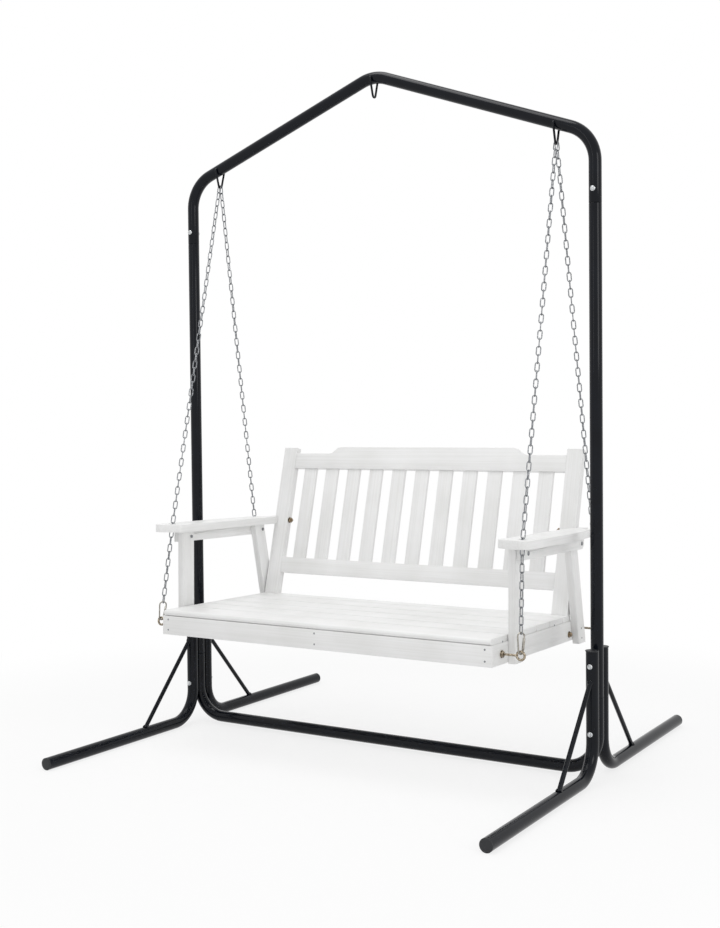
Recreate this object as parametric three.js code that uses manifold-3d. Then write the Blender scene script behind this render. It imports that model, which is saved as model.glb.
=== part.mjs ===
// Garden swing chair: a slatted two-seat bench hung by four chains from a bent steel tube stand.
// Millimetres. X runs along the bench, the front is -Y and the floor is Z = 0.
import * as THREE from 'three';
import Module from 'manifold-3d';
import { mergeVertices } from 'three/addons/utils/BufferGeometryUtils.js';

const wasm = await Module();
wasm.setup();

// Fits
const seatGap = 0.3;
const cutOverrun = 4;
const weldTolerance = 0.0001;

// Stand: round tube, top gable, uprights, base bar and four bent feet
const tubeRadius = 19;
const tubeSides = 12;
const bendSteps = 4;
const uprightSpread = 748;
const shoulderHeight = 1889.6;
const gableRise = 276.6;
const shoulderBendRadius = 115;
const apexBendRadius = 130;
const topTubeTail = 202.6;
const baseSeamHeight = 242;
const spigotRadius = 17;
const spigotLength = 70;
const baseBarHeight = 26;
const baseBendRadius = 100;
const clusterGap = 0.4;
const footPostTop = 384;
const footReach = 740;
const footBendRadius = 100;
const braceRadius = 7;
const braceSides = 8;
const braceDrop = 92;
const braceFootReach = 287;

// Caps on the foot tubes
const capOverhang = 1.2;
const capThickness = 3;
const plugThickness = 3;

// Bolts through the tubes
const frameBoltRadius = 4;
const frameBoltHeadRadius = 8;
const frameBoltHeadHeight = 5;
const frameNutRadius = 7.5;
const frameNutHeight = 6;
const boltTail = 2;
const boltSides = 6;
const lowBoltDrop = 99;
const highBoltDrop = 43;
const topBoltRise = 40;

// Wire hooks in the top tube
const hookWireRadius = 3.5;
const hookSides = 8;
const hookInset = 121;
const hookDrop = 61.5;
const hookBendRadius = 9;
const hookStandOff = 2.5;
const hookShoulderRadius = 4.2;
const hookEndGap = 2;

// Bench boards
const benchTilt = THREE.MathUtils.degToRad(1);
const benchUnderside = 378;
const benchFront = -377;
const standClearance = 159;
const railHeight = 60;
const boardThickness = 18;
const sideRailEnd = 285;
const slatInset = 4;
const frontSlatWidth = 111;
const slatWidth = 92;
const slatSpace = 5.5;
const slatCount = 4;
const rearSlatWidth = 58;
const noseRadius = 8;
const bearerWidth = 18;

// Bench back: a leaning frame of two posts, two rails and a row of slats
const backLean = THREE.MathUtils.degToRad(13.85);
const backFront = 170;
const postWidth = 42;
const postShoulder = 12;
const postThickness = 25;
const postTop = 535.5;
const postFoot = -72;
const backRailThickness = 22;
const bottomRailLow = 78;
const bottomRailHeight = 54.8;
const topRailLow = 460;
const topRailHeight = 55.3;
const crestRise = 23.9;
const crestSetBack = 231;
const crestCurve = 47;
const backSlatCount = 11;
const backSlatWidth = 51;
const backSlatMargin = 68;
const backSlatThickness = 12;
const backSlatDepth = 5;
const tenonLength = 10;

// Arms
const armPostWidth = 54;
const armPostThickness = 22;
const armPostFront = -273.5;
const armPostFoot = 374;
const armLegFoot = 366;
const armUnderside = 702;
const armThickness = 25;
const legFrontTop = 120.8;
const legFrontFoot = 198.3;
const bearerHeight = 35;
const bearerSetBack = 6;
const bearerEnd = 183;
const bearerThickness = 21;
const bearerChamfer = 12;
const armBoltShare = 0.75;
const armRearReach = 269;
const armInnerFront = -309;
const armOuterFront = -336;
const armOverhang = 85;
const armTaperStart = -6;
const armTaperEnd = 199;
const armTaperOverhang = 59;
const armTongueWidth = 30;
const armTongueStep = 16;
const armFrontRadius = 25;
const armInnerRadius = 12;
const armRearRadius = 10;
const armHoleOverhang = 45.5;
const armHoleAlong = -279;
const armHoleRadius = 12.5;
const armHoleSides = 16;

// Bolts of the bench
const backBoltRadius = 4;
const backBoltHeadRadius = 8;
const backBoltHeadHeight = 7.5;
const backNutRadius = 8;
const backNutHeight = 7;
const lowBackBoltRise = 20.5;
const armBoltRadius = 3;
const armBoltHeadRadius = 5.8;
const armBoltHeadHeight = 2.5;
const armNutRadius = 5.8;
const armNutHeight = 3;

// Eye bolts in the side rails
const eyeWireRadius = 2.5;
const eyeRadius = 11;
const eyeStandOff = 59;
const eyeShankRadius = 3;
const eyeWasherRadius = 11;
const eyeWasherThickness = 2;
const eyeNutRadius = 7;
const eyeNutHeight = 6;
const frontEyeAlong = -316.5;
const rearEyeAlong = 265;
const eyeSteps = 10;
const eyeSides = 6;

// Snap hooks: a pear of bent wire closed by a sprung gate
const clipWireRadius = 2.25;
const clipSides = 6;
const clipTopRadius = 11.25;
const clipFootRadius = 7.2;
const clipSpan = 41;
const clipTurn = THREE.MathUtils.degToRad(60);
const clipEyeGap = 1.6;
const clipLinkGap = 0.9;
const clipStub = 8;
const clipNose = 6;
const gateWall = 0.8;
const gateLip = 2.6;
const gateOverlap = 3;
const gateHeel = 2.6;
const rivetRadius = 1;
const rivetSides = 6;
const rivetSetBack = 2.5;

// Chain links: bent wire with a ridge on the inside
const linkPitch = 24.2;
const linkWireRadius = 1.9;
const linkInnerWidth = 8.4;
const linkSteps = 4;
const linkWireSides = 3;
const linkContact = 0.2;
const chainSideStep = 2.9;
const chainHookGap = 0.8;
const chainHoleShift = 2.2;
const chainArmLean = 0.8;

// Finishes
const steelFinish = { color: 0x2b2e35, roughness: 0.32, metalness: 0.35 };
const paintFinish = { color: 0xf4f4f2, roughness: 0.5, metalness: 0 };
const zincFinish = { color: 0xc9cacb, roughness: 0.35, metalness: 1 };
const brassFinish = { color: 0xc8a45a, roughness: 0.35, metalness: 1 };

// Sizes that follow from those above
const apexHeight = shoulderHeight + gableRise;
const topSeamHeight = shoulderHeight - topTubeTail;
const topBoltHeight = topSeamHeight + topBoltRise;
const highBoltHeight = footPostTop - highBoltDrop;
const lowBoltHeight = baseSeamHeight - lowBoltDrop;
const braceTopHeight = footPostTop - braceDrop;
const hookSpread = uprightSpread - hookInset;
const railSpread = uprightSpread - standClearance;
const seatTop = benchUnderside + railHeight + boardThickness;
const railTop = benchUnderside + railHeight;
const railInner = railSpread - boardThickness;
const postSpread = railInner - seatGap;
const postInner = postSpread - postWidth;
const postOuter = postSpread + postShoulder;
const crestHalfWidth = postSpread - crestSetBack;
const crestShoulder = crestHalfWidth + crestCurve;
const backSlatPitch = (2 * (postInner - backSlatMargin)) / (backSlatCount - 1);
const footOffset = 2 * tubeRadius + clusterGap;
const clusterHalfDepth = footOffset + tubeRadius;
const armPostInner = railSpread + seatGap;
const armPostOuter = armPostInner + armPostThickness;
const bearerInner = armPostOuter + seatGap;
const bearerOuter = bearerInner + bearerThickness;
const armInnerEdge = postSpread + seatGap;
const armOuterEdge = railSpread + armOverhang;
const armTaperEdge = railSpread + armTaperOverhang;
const armHoleAcross = railSpread + armHoleOverhang;
const tongueInner = postOuter + seatGap;
const tongueOuter = tongueInner + armTongueWidth;
const armMidHeight = armUnderside + armThickness / 2;
const frontSlatEnd = benchFront + frontSlatWidth;
const rearSlatFront = frontSlatEnd + slatSpace + slatCount * (slatWidth + slatSpace);
const linkLegOffset = linkInnerWidth / 2 + linkWireRadius;
const hookWireReach = hookWireRadius / Math.cos(Math.PI / hookSides);
const clipWireReach = clipWireRadius / Math.cos(Math.PI / clipSides);
const clipInnerLength = clipSpan + clipTopRadius + clipFootRadius - 2 * clipWireRadius;
const backBolt = {
  shank: backBoltRadius,
  head: backBoltHeadRadius,
  headHeight: backBoltHeadHeight,
  nut: backNutRadius,
  nutHeight: backNutHeight,
};
const armBolt = {
  shank: armBoltRadius,
  head: armBoltHeadRadius,
  headHeight: armBoltHeadHeight,
  nut: armNutRadius,
  nutHeight: armNutHeight,
};

// Solids and geometry
function bareGeometry(geometry) {
  const bare = geometry.clone();
  bare.deleteAttribute('normal');
  bare.deleteAttribute('uv');
  return mergeVertices(bare, weldTolerance);
}

function toSolid(geometry) {
  const bare = bareGeometry(geometry);
  const mesh = new wasm.Mesh({
    numProp: 3,
    vertProperties: new Float32Array(bare.attributes.position.array),
    triVerts: new Uint32Array(bare.index.array),
  });
  return new wasm.Manifold(mesh);
}

function toGeometry(solid) {
  const mesh = solid.getMesh();
  const geometry = new THREE.BufferGeometry();
  geometry.setAttribute('position', new THREE.BufferAttribute(mesh.vertProperties, 3));
  geometry.setIndex(new THREE.BufferAttribute(mesh.triVerts, 1));
  return geometry;
}

function cut(geometry, tools) {
  let solid = toSolid(geometry);
  for (const tool of tools) solid = solid.subtract(toSolid(tool));
  return toGeometry(solid);
}

function fuse(geometries) {
  let solid = toSolid(geometries[0]);
  for (const other of geometries.slice(1)) solid = solid.add(toSolid(other));
  return toGeometry(solid);
}

// The same piece on the other side of the plane X = 0 or Y = 0
function mirrored(geometry, axis) {
  const copy = bareGeometry(geometry);
  copy.scale(axis === 'x' ? -1 : 1, axis === 'y' ? -1 : 1, 1);
  const order = copy.index.array;
  for (let i = 0; i < order.length; i += 3) [order[i], order[i + 1]] = [order[i + 1], order[i]];
  return copy;
}

function box(xs, ys, zs) {
  const geometry = new THREE.BoxGeometry(xs[1] - xs[0], ys[1] - ys[0], zs[1] - zs[0]);
  return geometry.translate((xs[0] + xs[1]) / 2, (ys[0] + ys[1]) / 2, (zs[0] + zs[1]) / 2);
}

// A rod along the axis X or Y, with its flats on the true radius
function rod(axis, radius, from, to, sides) {
  const flatRadius = radius / Math.cos(Math.PI / sides);
  const geometry = new THREE.CylinderGeometry(flatRadius, flatRadius, to - from, sides);
  geometry.rotateY(Math.PI / sides).translate(0, (from + to) / 2, 0);
  if (axis === 'x') geometry.rotateZ(-Math.PI / 2);
  return geometry;
}

function roundSection(radius, sides) {
  const flatRadius = radius / Math.cos(Math.PI / sides);
  const points = [];
  for (let i = 0; i < sides; i += 1) {
    const angle = ((i + 0.5) / sides) * 2 * Math.PI;
    points.push(new THREE.Vector2(flatRadius * Math.cos(angle), flatRadius * Math.sin(angle)));
  }
  return new THREE.Shape(points);
}

// A path whose steps fall on given stations, so that straight runs take one step
class StationPath extends THREE.Curve {
  constructor(stations) {
    super();
    this.stations = stations;
  }

  station(t) {
    return this.stations[Math.round(t * (this.stations.length - 1))];
  }

  getPoint(t) {
    return this.station(t).point.clone();
  }

  getTangent(t) {
    return this.station(t).tangent.clone();
  }

  getUtoTmapping(u) {
    return u;
  }
}

// Stations along straight runs joined by arcs, one bend radius for each inner corner
function bentStations(corners, radii, steps) {
  const stations = [];
  const last = corners.length - 1;
  const heading = (i) => corners[i + 1].clone().sub(corners[i]).normalize();
  stations.push({ point: corners[0].clone(), tangent: heading(0) });
  for (let i = 1; i < last; i += 1) {
    const into = heading(i - 1);
    const out = heading(i);
    const turn = into.angleTo(out);
    const inward = out.clone().sub(into).normalize();
    const centre = corners[i].clone().addScaledVector(inward, radii[i - 1] / Math.cos(turn / 2));
    const axis = into.clone().cross(out).normalize();
    const toStart = corners[i].clone().addScaledVector(into, -radii[i - 1] * Math.tan(turn / 2)).sub(centre);
    for (let j = 0; j <= steps; j += 1) {
      const swing = (turn * j) / steps;
      stations.push({
        point: toStart.clone().applyAxisAngle(axis, swing).add(centre),
        tangent: into.clone().applyAxisAngle(axis, swing),
      });
    }
  }
  stations.push({ point: corners[last].clone(), tangent: heading(last - 1) });
  return stations;
}

function sweep(stations, radius, sides) {
  return new THREE.ExtrudeGeometry(roundSection(radius, sides), {
    extrudePath: new StationPath(stations),
    steps: stations.length - 1,
  });
}

function bentTube(corners, radii) {
  return sweep(bentStations(corners, radii, bendSteps), tubeRadius, tubeSides);
}

function straightRod(from, to, radius, sides) {
  const tangent = to.clone().sub(from).normalize();
  return sweep([{ point: from, tangent }, { point: to, tangent }], radius, sides);
}

// A turned piece whose profile is given as radius and height, standing on Z
function turned(profile, steps) {
  const points = profile.map(([radius, height]) => new THREE.Vector2(radius, height));
  return new THREE.LatheGeometry(points, steps).rotateX(Math.PI / 2);
}

// A bolt with a domed head, its shank running along +Z from the seat of the head
function domedBolt(shankRadius, headRadius, headHeight, length) {
  return turned([
    [0, length],
    [shankRadius, length],
    [shankRadius, 0],
    [headRadius, 0],
    [headRadius / 2, -headHeight],
    [0, -headHeight],
  ].reverse(), boltSides);
}

// A disc on Z, such as a nut or a washer on its bolt
function disc(radius, bottom, thickness, sides) {
  return turned([
    [0, bottom],
    [radius, bottom],
    [radius, bottom + thickness],
    [0, bottom + thickness],
  ], sides);
}

// An outline with each corner rounded to its own radius
function roundedShape(corners, steps) {
  const points = [];
  corners.forEach(([x, y, radius], i) => {
    const here = new THREE.Vector2(x, y);
    if (!radius) {
      points.push(here);
      return;
    }
    const before = corners[(i + corners.length - 1) % corners.length];
    const after = corners[(i + 1) % corners.length];
    const into = here.clone().sub(new THREE.Vector2(before[0], before[1])).normalize();
    const out = new THREE.Vector2(after[0], after[1]).sub(here).normalize();
    const turn = Math.atan2(into.cross(out), into.dot(out));
    const trim = radius * Math.tan(Math.abs(turn) / 2);
    const start = here.clone().addScaledVector(into, -trim);
    const side = new THREE.Vector2(-into.y, into.x).multiplyScalar(Math.sign(turn));
    const centre = start.clone().addScaledVector(side, radius);
    for (let j = 0; j <= steps; j += 1) {
      points.push(start.clone().rotateAround(centre, (turn * j) / steps));
    }
  });
  return new THREE.Shape(points);
}

// Outline in X and Y, thickness along Z
function slab(shape, bottom, thickness) {
  return new THREE.ExtrudeGeometry(shape, { depth: thickness, bevelEnabled: false }).translate(0, 0, bottom);
}

// Outline in X and Z, thickness along Y
function upright(shape, front, thickness) {
  const geometry = new THREE.ExtrudeGeometry(shape, { depth: thickness, bevelEnabled: false });
  return geometry.rotateX(Math.PI / 2).translate(0, front + thickness, 0);
}

// Outline in Y and Z, thickness along X
function crosswise(shape, inner, thickness) {
  const geometry = new THREE.ExtrudeGeometry(shape, { depth: thickness, bevelEnabled: false });
  return geometry.rotateY(Math.PI / 2).rotateX(Math.PI / 2).translate(inner, 0, 0);
}

const pieces = new THREE.Group();
const bench = new THREE.Group();
const back = new THREE.Group();
pieces.add(bench);
bench.add(back);

// The bench hangs tipped back about its lower front edge, and its back leans further
const tiltEdge = new THREE.Vector3(0, benchFront, benchUnderside);
bench.rotation.x = -benchTilt;
bench.position.copy(tiltEdge).sub(tiltEdge.clone().applyEuler(bench.rotation));
back.position.set(0, backFront, seatTop);
back.rotation.x = -backLean;
pieces.updateMatrixWorld(true);

function addMesh(parent, name, geometry, finish) {
  const mesh = new THREE.Mesh(geometry, new THREE.MeshStandardMaterial(finish));
  mesh.name = name;
  parent.add(mesh);
  return mesh;
}

function addPair(parent, name, rightGeometry, finish) {
  addMesh(parent, `left_${name}`, mirrored(rightGeometry, 'x'), finish);
  addMesh(parent, `right_${name}`, rightGeometry, finish);
}

const onStand = (x, y, z) => new THREE.Vector3(x, y, z);
const onBench = (x, y, z) => new THREE.Vector3(x, y, z).applyMatrix4(bench.matrixWorld);
const backToBench = (x, depth, rise) => new THREE.Vector3(x, depth, rise).applyMatrix4(back.matrix);

// Height of the top tube's centre line over a place on the bench side of the shoulder
function topTubeHeight(across) {
  const slope = (apexHeight - shoulderHeight) / uprightSpread;
  return across ? apexHeight - across * slope : apexHeight - apexBendRadius * (Math.hypot(1, slope) - 1);
}

function acrossTool(radius, x, z, halfDepth) {
  return rod('y', radius + seatGap, -halfDepth, halfDepth, boltSides).translate(x, 0, z);
}

function topTube() {
  const corners = [
    onStand(-uprightSpread, 0, topSeamHeight),
    onStand(-uprightSpread, 0, shoulderHeight),
    onStand(0, 0, apexHeight),
    onStand(uprightSpread, 0, shoulderHeight),
    onStand(uprightSpread, 0, topSeamHeight),
  ];
  const reach = tubeRadius + cutOverrun;
  const tools = [-hookSpread, 0, hookSpread].map(
    (x) => acrossTool(hookWireReach, x, topTubeHeight(Math.abs(x)), reach),
  );
  for (const side of [-1, 1]) {
    tools.push(acrossTool(frameBoltRadius, side * uprightSpread, topBoltHeight, reach));
    tools.push(socket(side * uprightSpread, topSeamHeight, 1));
  }
  return cut(bentTube(corners, [shoulderBendRadius, apexBendRadius, shoulderBendRadius]), tools);
}

// The bore that takes an upright's reduced end, above a seam (+1) or below it (-1)
function socket(x, seam, way) {
  const depth = spigotLength + seatGap;
  const from = onStand(x, 0, seam - way * cutOverrun);
  return straightRod(from, onStand(x, 0, seam + way * depth), spigotRadius, tubeSides);
}

function rightUpright() {
  const x = uprightSpread;
  const fit = spigotRadius - seatGap;
  const low = baseSeamHeight + seatGap;
  const high = topSeamHeight - seatGap;
  const body = straightRod(onStand(x, 0, low), onStand(x, 0, high), tubeRadius, tubeSides);
  const spigots = straightRod(
    onStand(x, 0, baseSeamHeight - spigotLength),
    onStand(x, 0, topSeamHeight + spigotLength),
    fit,
    tubeSides,
  );
  const reach = tubeRadius + cutOverrun;
  return cut(fuse([body, spigots, frameBolt(x, topBoltHeight, tubeRadius)]), [
    acrossTool(frameBoltRadius, x, highBoltHeight, reach),
  ]);
}

function baseBar() {
  const corners = [
    onStand(-uprightSpread, 0, baseSeamHeight),
    onStand(-uprightSpread, 0, baseBarHeight),
    onStand(uprightSpread, 0, baseBarHeight),
    onStand(uprightSpread, 0, baseSeamHeight),
  ];
  const reach = tubeRadius + cutOverrun;
  const tools = [];
  for (const side of [-1, 1]) {
    tools.push(acrossTool(frameBoltRadius, side * uprightSpread, lowBoltHeight, reach));
    tools.push(socket(side * uprightSpread, baseSeamHeight, -1));
  }
  return cut(bentTube(corners, [baseBendRadius, baseBendRadius]), tools);
}

// The foot at the right rear: a bent tube with a welded brace, a cap on top and a plug in its end
function rightRearTube() {
  const corners = [
    onStand(uprightSpread, footOffset, footPostTop),
    onStand(uprightSpread, footOffset, tubeRadius),
    onStand(uprightSpread, footReach, tubeRadius),
  ];
  const brace = straightRod(
    onStand(uprightSpread, footOffset + tubeRadius, braceTopHeight),
    onStand(uprightSpread, braceFootReach, 2 * tubeRadius),
    braceRadius,
    braceSides,
  );
  const cap = straightRod(
    onStand(uprightSpread, footOffset + capOverhang, footPostTop),
    onStand(uprightSpread, footOffset + capOverhang, footPostTop + capThickness),
    tubeRadius + capOverhang,
    tubeSides,
  );
  const plug = rod('y', tubeRadius, footReach, footReach + plugThickness, tubeSides);
  plug.translate(uprightSpread, 0, tubeRadius);
  return fuse([bentTube(corners, [footBendRadius]), brace, cap, plug]);
}

// The bolts' heads and shanks belong to the front feet, and the rear feet have their holes
function rightRearFoot() {
  const reach = clusterHalfDepth + cutOverrun;
  return cut(rightRearTube(), [
    acrossTool(frameBoltRadius, uprightSpread, lowBoltHeight, reach),
    acrossTool(frameBoltRadius, uprightSpread, highBoltHeight, reach),
  ]);
}

function rightFrontFoot() {
  return fuse([
    mirrored(rightRearTube(), 'y'),
    frameBolt(uprightSpread, lowBoltHeight, clusterHalfDepth),
    frameBolt(uprightSpread, highBoltHeight, clusterHalfDepth),
  ]);
}

// A bolt along Y with its head at the front and its nut at the back
function frameBolt(x, z, halfDepth) {
  const seat = halfDepth + seatGap;
  const length = 2 * seat + frameNutHeight + boltTail;
  const bolt = domedBolt(frameBoltRadius, frameBoltHeadRadius, frameBoltHeadHeight, length);
  const nut = disc(frameNutRadius, 2 * seat, frameNutHeight, 6);
  return fuse([bolt, nut]).rotateX(-Math.PI / 2).translate(x, -seat, z);
}

// Where a hook's narrow bend has its centre, below the cross hole
function hookBendCentre(across) {
  return onStand(across, 0, topTubeHeight(Math.abs(across)) - hookDrop + hookBendRadius);
}

function wireHook(across) {
  const holeHeight = topTubeHeight(Math.abs(across));
  const legTop = tubeRadius + hookWireRadius + hookStandOff;
  const drop = hookDrop - hookBendRadius;
  const toCentre = Math.atan2(legTop, drop);
  const legSlope = toCentre - Math.asin(hookBendRadius / Math.hypot(legTop, drop));
  const cornerDrop = legTop / Math.tan(legSlope);
  const corners = [
    onStand(across, -hookEndGap / 2, holeHeight),
    onStand(across, -legTop, holeHeight),
    onStand(across, 0, holeHeight - cornerDrop),
    onStand(across, legTop, holeHeight),
    onStand(across, hookEndGap / 2, holeHeight),
  ];
  const radii = [hookShoulderRadius, hookBendRadius, hookShoulderRadius];
  return sweep(bentStations(corners, radii, bendSteps), hookWireRadius, hookSides);
}

// Boards under the seat
function apron() {
  return box([-railSpread, railSpread], [benchFront, benchFront + boardThickness], [benchUnderside, railTop]);
}

function acrossBoard(radius, y, z) {
  const hole = rod('x', radius + seatGap, postInner - cutOverrun, bearerOuter + cutOverrun, boltSides);
  return hole.translate(0, y, z);
}

const lowBackBolt = backToBench(0, postThickness / 2, 0);
lowBackBolt.z = benchUnderside + lowBackBoltRise;
lowBackBolt.y = backFront + postThickness / 2 / Math.cos(backLean)
  - (seatTop - lowBackBolt.z) * Math.tan(backLean);
const railMidHeight = benchUnderside + railHeight / 2;

function rightSideRail() {
  const front = benchFront + boardThickness + seatGap;
  const rail = cut(box([railInner, railSpread], [front, sideRailEnd], [benchUnderside, railTop]), [
    acrossBoard(eyeShankRadius, frontEyeAlong, railMidHeight),
    acrossBoard(eyeShankRadius, rearEyeAlong, railMidHeight),
  ]);
  return fuse([rail, benchBolt(railSpread, postInner, lowBackBolt.y, lowBackBolt.z, backBolt)]);
}

const postFaceAtRailFoot = backFront - (seatTop - benchUnderside) * Math.tan(backLean);
const rearRailEnd = postFaceAtRailFoot - seatGap;

// The rear rail and the middle bearer that ends on it
function underSeatFrame() {
  const inner = railInner - seatGap;
  const rail = box([-inner, inner], [rearRailEnd - boardThickness, rearRailEnd], [benchUnderside, railTop]);
  const front = benchFront + boardThickness + seatGap;
  const bearer = box([-bearerWidth / 2, bearerWidth / 2], [front, rearRailEnd], [benchUnderside, railTop]);
  return fuse([rail, bearer]);
}

// Seat slats, numbered from the front
const slatHalfLength = railSpread - slatInset;
const slatBottom = railTop + seatGap;

function frontSlat() {
  const shape = roundedShape([
    [benchFront, slatBottom, noseRadius],
    [frontSlatEnd, slatBottom, 0],
    [frontSlatEnd, seatTop, 0],
    [benchFront, seatTop, noseRadius],
  ], 3);
  return crosswise(shape, -slatHalfLength, 2 * slatHalfLength);
}

function middleSlat(index) {
  const front = frontSlatEnd + slatSpace + index * (slatWidth + slatSpace);
  return box([-slatHalfLength, slatHalfLength], [front, front + slatWidth], [slatBottom, seatTop]);
}

function rearSlat() {
  const end = rearSlatFront + rearSlatWidth;
  const notch = backFront - boardThickness * Math.tan(backLean) - seatGap;
  const outer = postSpread + seatGap;
  const inner = postInner - seatGap;
  const right = [
    [slatHalfLength, rearSlatFront, 0],
    [slatHalfLength, end, 0],
    [outer, end, 0],
    [outer, notch, 0],
    [inner, notch, 0],
    [inner, end, 0],
  ];
  const left = right.map(([x, y, radius]) => [-x, y, radius]).reverse();
  return slab(roundedShape([...right, ...left], 1), slatBottom, boardThickness - seatGap);
}

// Back: X across, Y behind the front face, Z along the posts from the seat's top
const backBoltRise = (armMidHeight - seatTop) / Math.cos(backLean) + postThickness / 2 * Math.tan(backLean);
const upperBackBolt = backToBench(0, postThickness / 2, backBoltRise);
const lowBackBoltPlace = lowBackBolt.clone().applyMatrix4(back.matrix.clone().invert());

// Between the seat's boards the post is narrower, and its shoulder stands level just over them
function rightBackPost() {
  const shape = new THREE.Shape([
    new THREE.Vector2(0, seatGap),
    new THREE.Vector2(postThickness, seatGap + postThickness * Math.tan(backLean)),
    new THREE.Vector2(postThickness, postTop),
    new THREE.Vector2(0, postTop),
  ]);
  const post = fuse([
    box([postInner, postSpread], [0, postThickness], [postFoot, postTop]),
    crosswise(shape, postSpread, postShoulder),
  ]);
  const drilled = cut(post, [acrossBoard(backBolt.shank, lowBackBoltPlace.y, lowBackBoltPlace.z)]);
  return fuse([drilled, benchBolt(tongueOuter, postInner, postThickness / 2, backBoltRise, backBolt)]);
}

const backRailHalfLength = postInner - seatGap;
const bottomRailTop = bottomRailLow + bottomRailHeight;

function backSlatCentres() {
  const centres = [];
  for (let i = 0; i < backSlatCount; i += 1) {
    centres.push((i - (backSlatCount - 1) / 2) * backSlatPitch);
  }
  return centres;
}

// A board of the back's slat row, with its ends let into both rails
function backSlat(centre, spare) {
  return box(
    [centre - backSlatWidth / 2 - spare, centre + backSlatWidth / 2 + spare],
    [backSlatDepth - spare, backSlatDepth + backSlatThickness + spare],
    [bottomRailTop - tenonLength - spare, topRailLow + tenonLength + spare],
  );
}

function mortised(rail) {
  return cut(rail, backSlatCentres().map((centre) => backSlat(centre, seatGap)));
}

function bottomRail() {
  const width = [-backRailHalfLength, backRailHalfLength];
  return mortised(box(width, [0, backRailThickness], [bottomRailLow, bottomRailTop]));
}

function topRail() {
  const top = topRailLow + topRailHeight;
  const crest = top + crestRise;
  const middle = (crestHalfWidth + crestShoulder) / 2;
  const shape = new THREE.Shape();
  shape.moveTo(-backRailHalfLength, topRailLow);
  shape.lineTo(backRailHalfLength, topRailLow);
  shape.lineTo(backRailHalfLength, top);
  shape.lineTo(crestShoulder, top);
  shape.bezierCurveTo(middle, top, middle, crest, crestHalfWidth, crest);
  shape.lineTo(-crestHalfWidth, crest);
  shape.bezierCurveTo(-middle, crest, -middle, top, -crestShoulder, top);
  shape.lineTo(-backRailHalfLength, top);
  const outline = new THREE.Shape(shape.getPoints(4));
  return mortised(upright(outline, 0, backRailThickness));
}

// Arms
const armPartTop = armUnderside - seatGap;
const armBoltHeight = armUnderside - bearerHeight / 2;
const legSlope = (legFrontFoot - legFrontTop) / (armUnderside - armLegFoot);
const frontArmBolt = armPostFront + armPostWidth * armBoltShare;
const rearArmBolt = legFrontTop + legSlope * (bearerHeight / 2) + armPostWidth * armBoltShare;

function rightArmPost() {
  const post = box(
    [armPostInner, armPostOuter],
    [armPostFront, armPostFront + armPostWidth],
    [armPostFoot, armPartTop],
  );
  return cut(post, [acrossBoard(armBolt.shank, frontArmBolt, armBoltHeight)]);
}

function rightArmLeg() {
  const shape = new THREE.Shape([
    new THREE.Vector2(legFrontFoot, armLegFoot),
    new THREE.Vector2(legFrontFoot + armPostWidth, armLegFoot),
    new THREE.Vector2(legFrontTop + armPostWidth, armPartTop),
    new THREE.Vector2(legFrontTop, armPartTop),
  ]);
  const leg = crosswise(shape, armPostInner, armPostThickness);
  return cut(leg, [acrossBoard(armBolt.shank, rearArmBolt, armBoltHeight)]);
}

function rightArmBearer() {
  const front = armPostFront + bearerSetBack;
  const low = armUnderside - bearerHeight;
  const shape = new THREE.Shape([
    new THREE.Vector2(front, low),
    new THREE.Vector2(bearerEnd - bearerChamfer, low),
    new THREE.Vector2(bearerEnd, low + bearerChamfer),
    new THREE.Vector2(bearerEnd, armPartTop),
    new THREE.Vector2(front, armPartTop),
  ]);
  return fuse([
    crosswise(shape, bearerInner, bearerThickness),
    benchBolt(bearerOuter, armPostInner, frontArmBolt, armBoltHeight, armBolt),
    benchBolt(bearerOuter, armPostInner, rearArmBolt, armBoltHeight, armBolt),
  ]);
}

// The armrest is notched round the back post, and a tongue runs on beside it
function rightArmrest() {
  const notch = backFront + (armUnderside - seatTop) * Math.tan(backLean) - seatGap;
  const shape = roundedShape([
    [armInnerEdge, armInnerFront, armInnerRadius],
    [armOuterEdge, armOuterFront, armFrontRadius],
    [armOuterEdge, armTaperStart, 0],
    [armTaperEdge, armTaperEnd, armRearRadius],
    [tongueOuter, armTaperEnd + armTongueStep, armRearRadius],
    [tongueOuter, armRearReach, 0],
    [tongueInner, armRearReach, 0],
    [tongueInner, notch, 0],
    [armInnerEdge, notch, 0],
  ], 4);
  const hole = straightRod(
    new THREE.Vector3(armHoleAcross, armHoleAlong, armUnderside - cutOverrun),
    new THREE.Vector3(armHoleAcross, armHoleAlong, armUnderside + armThickness + cutOverrun),
    armHoleRadius,
    armHoleSides,
  );
  return cut(slab(shape, armUnderside, armThickness), [
    hole,
    acrossBoard(backBolt.shank, upperBackBolt.y, upperBackBolt.z),
  ]);
}

// A bolt along X with its head outside and its nut inside, on the right of the bench
function benchBolt(outer, inner, y, z, size) {
  const grip = outer - inner + 2 * seatGap;
  const bolt = domedBolt(size.shank, size.head, size.headHeight, grip + size.nutHeight + boltTail);
  const nut = disc(size.nut, grip, size.nutHeight, 6);
  return fuse([bolt, nut]).rotateY(-Math.PI / 2).translate(outer + seatGap, y, z);
}

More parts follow.
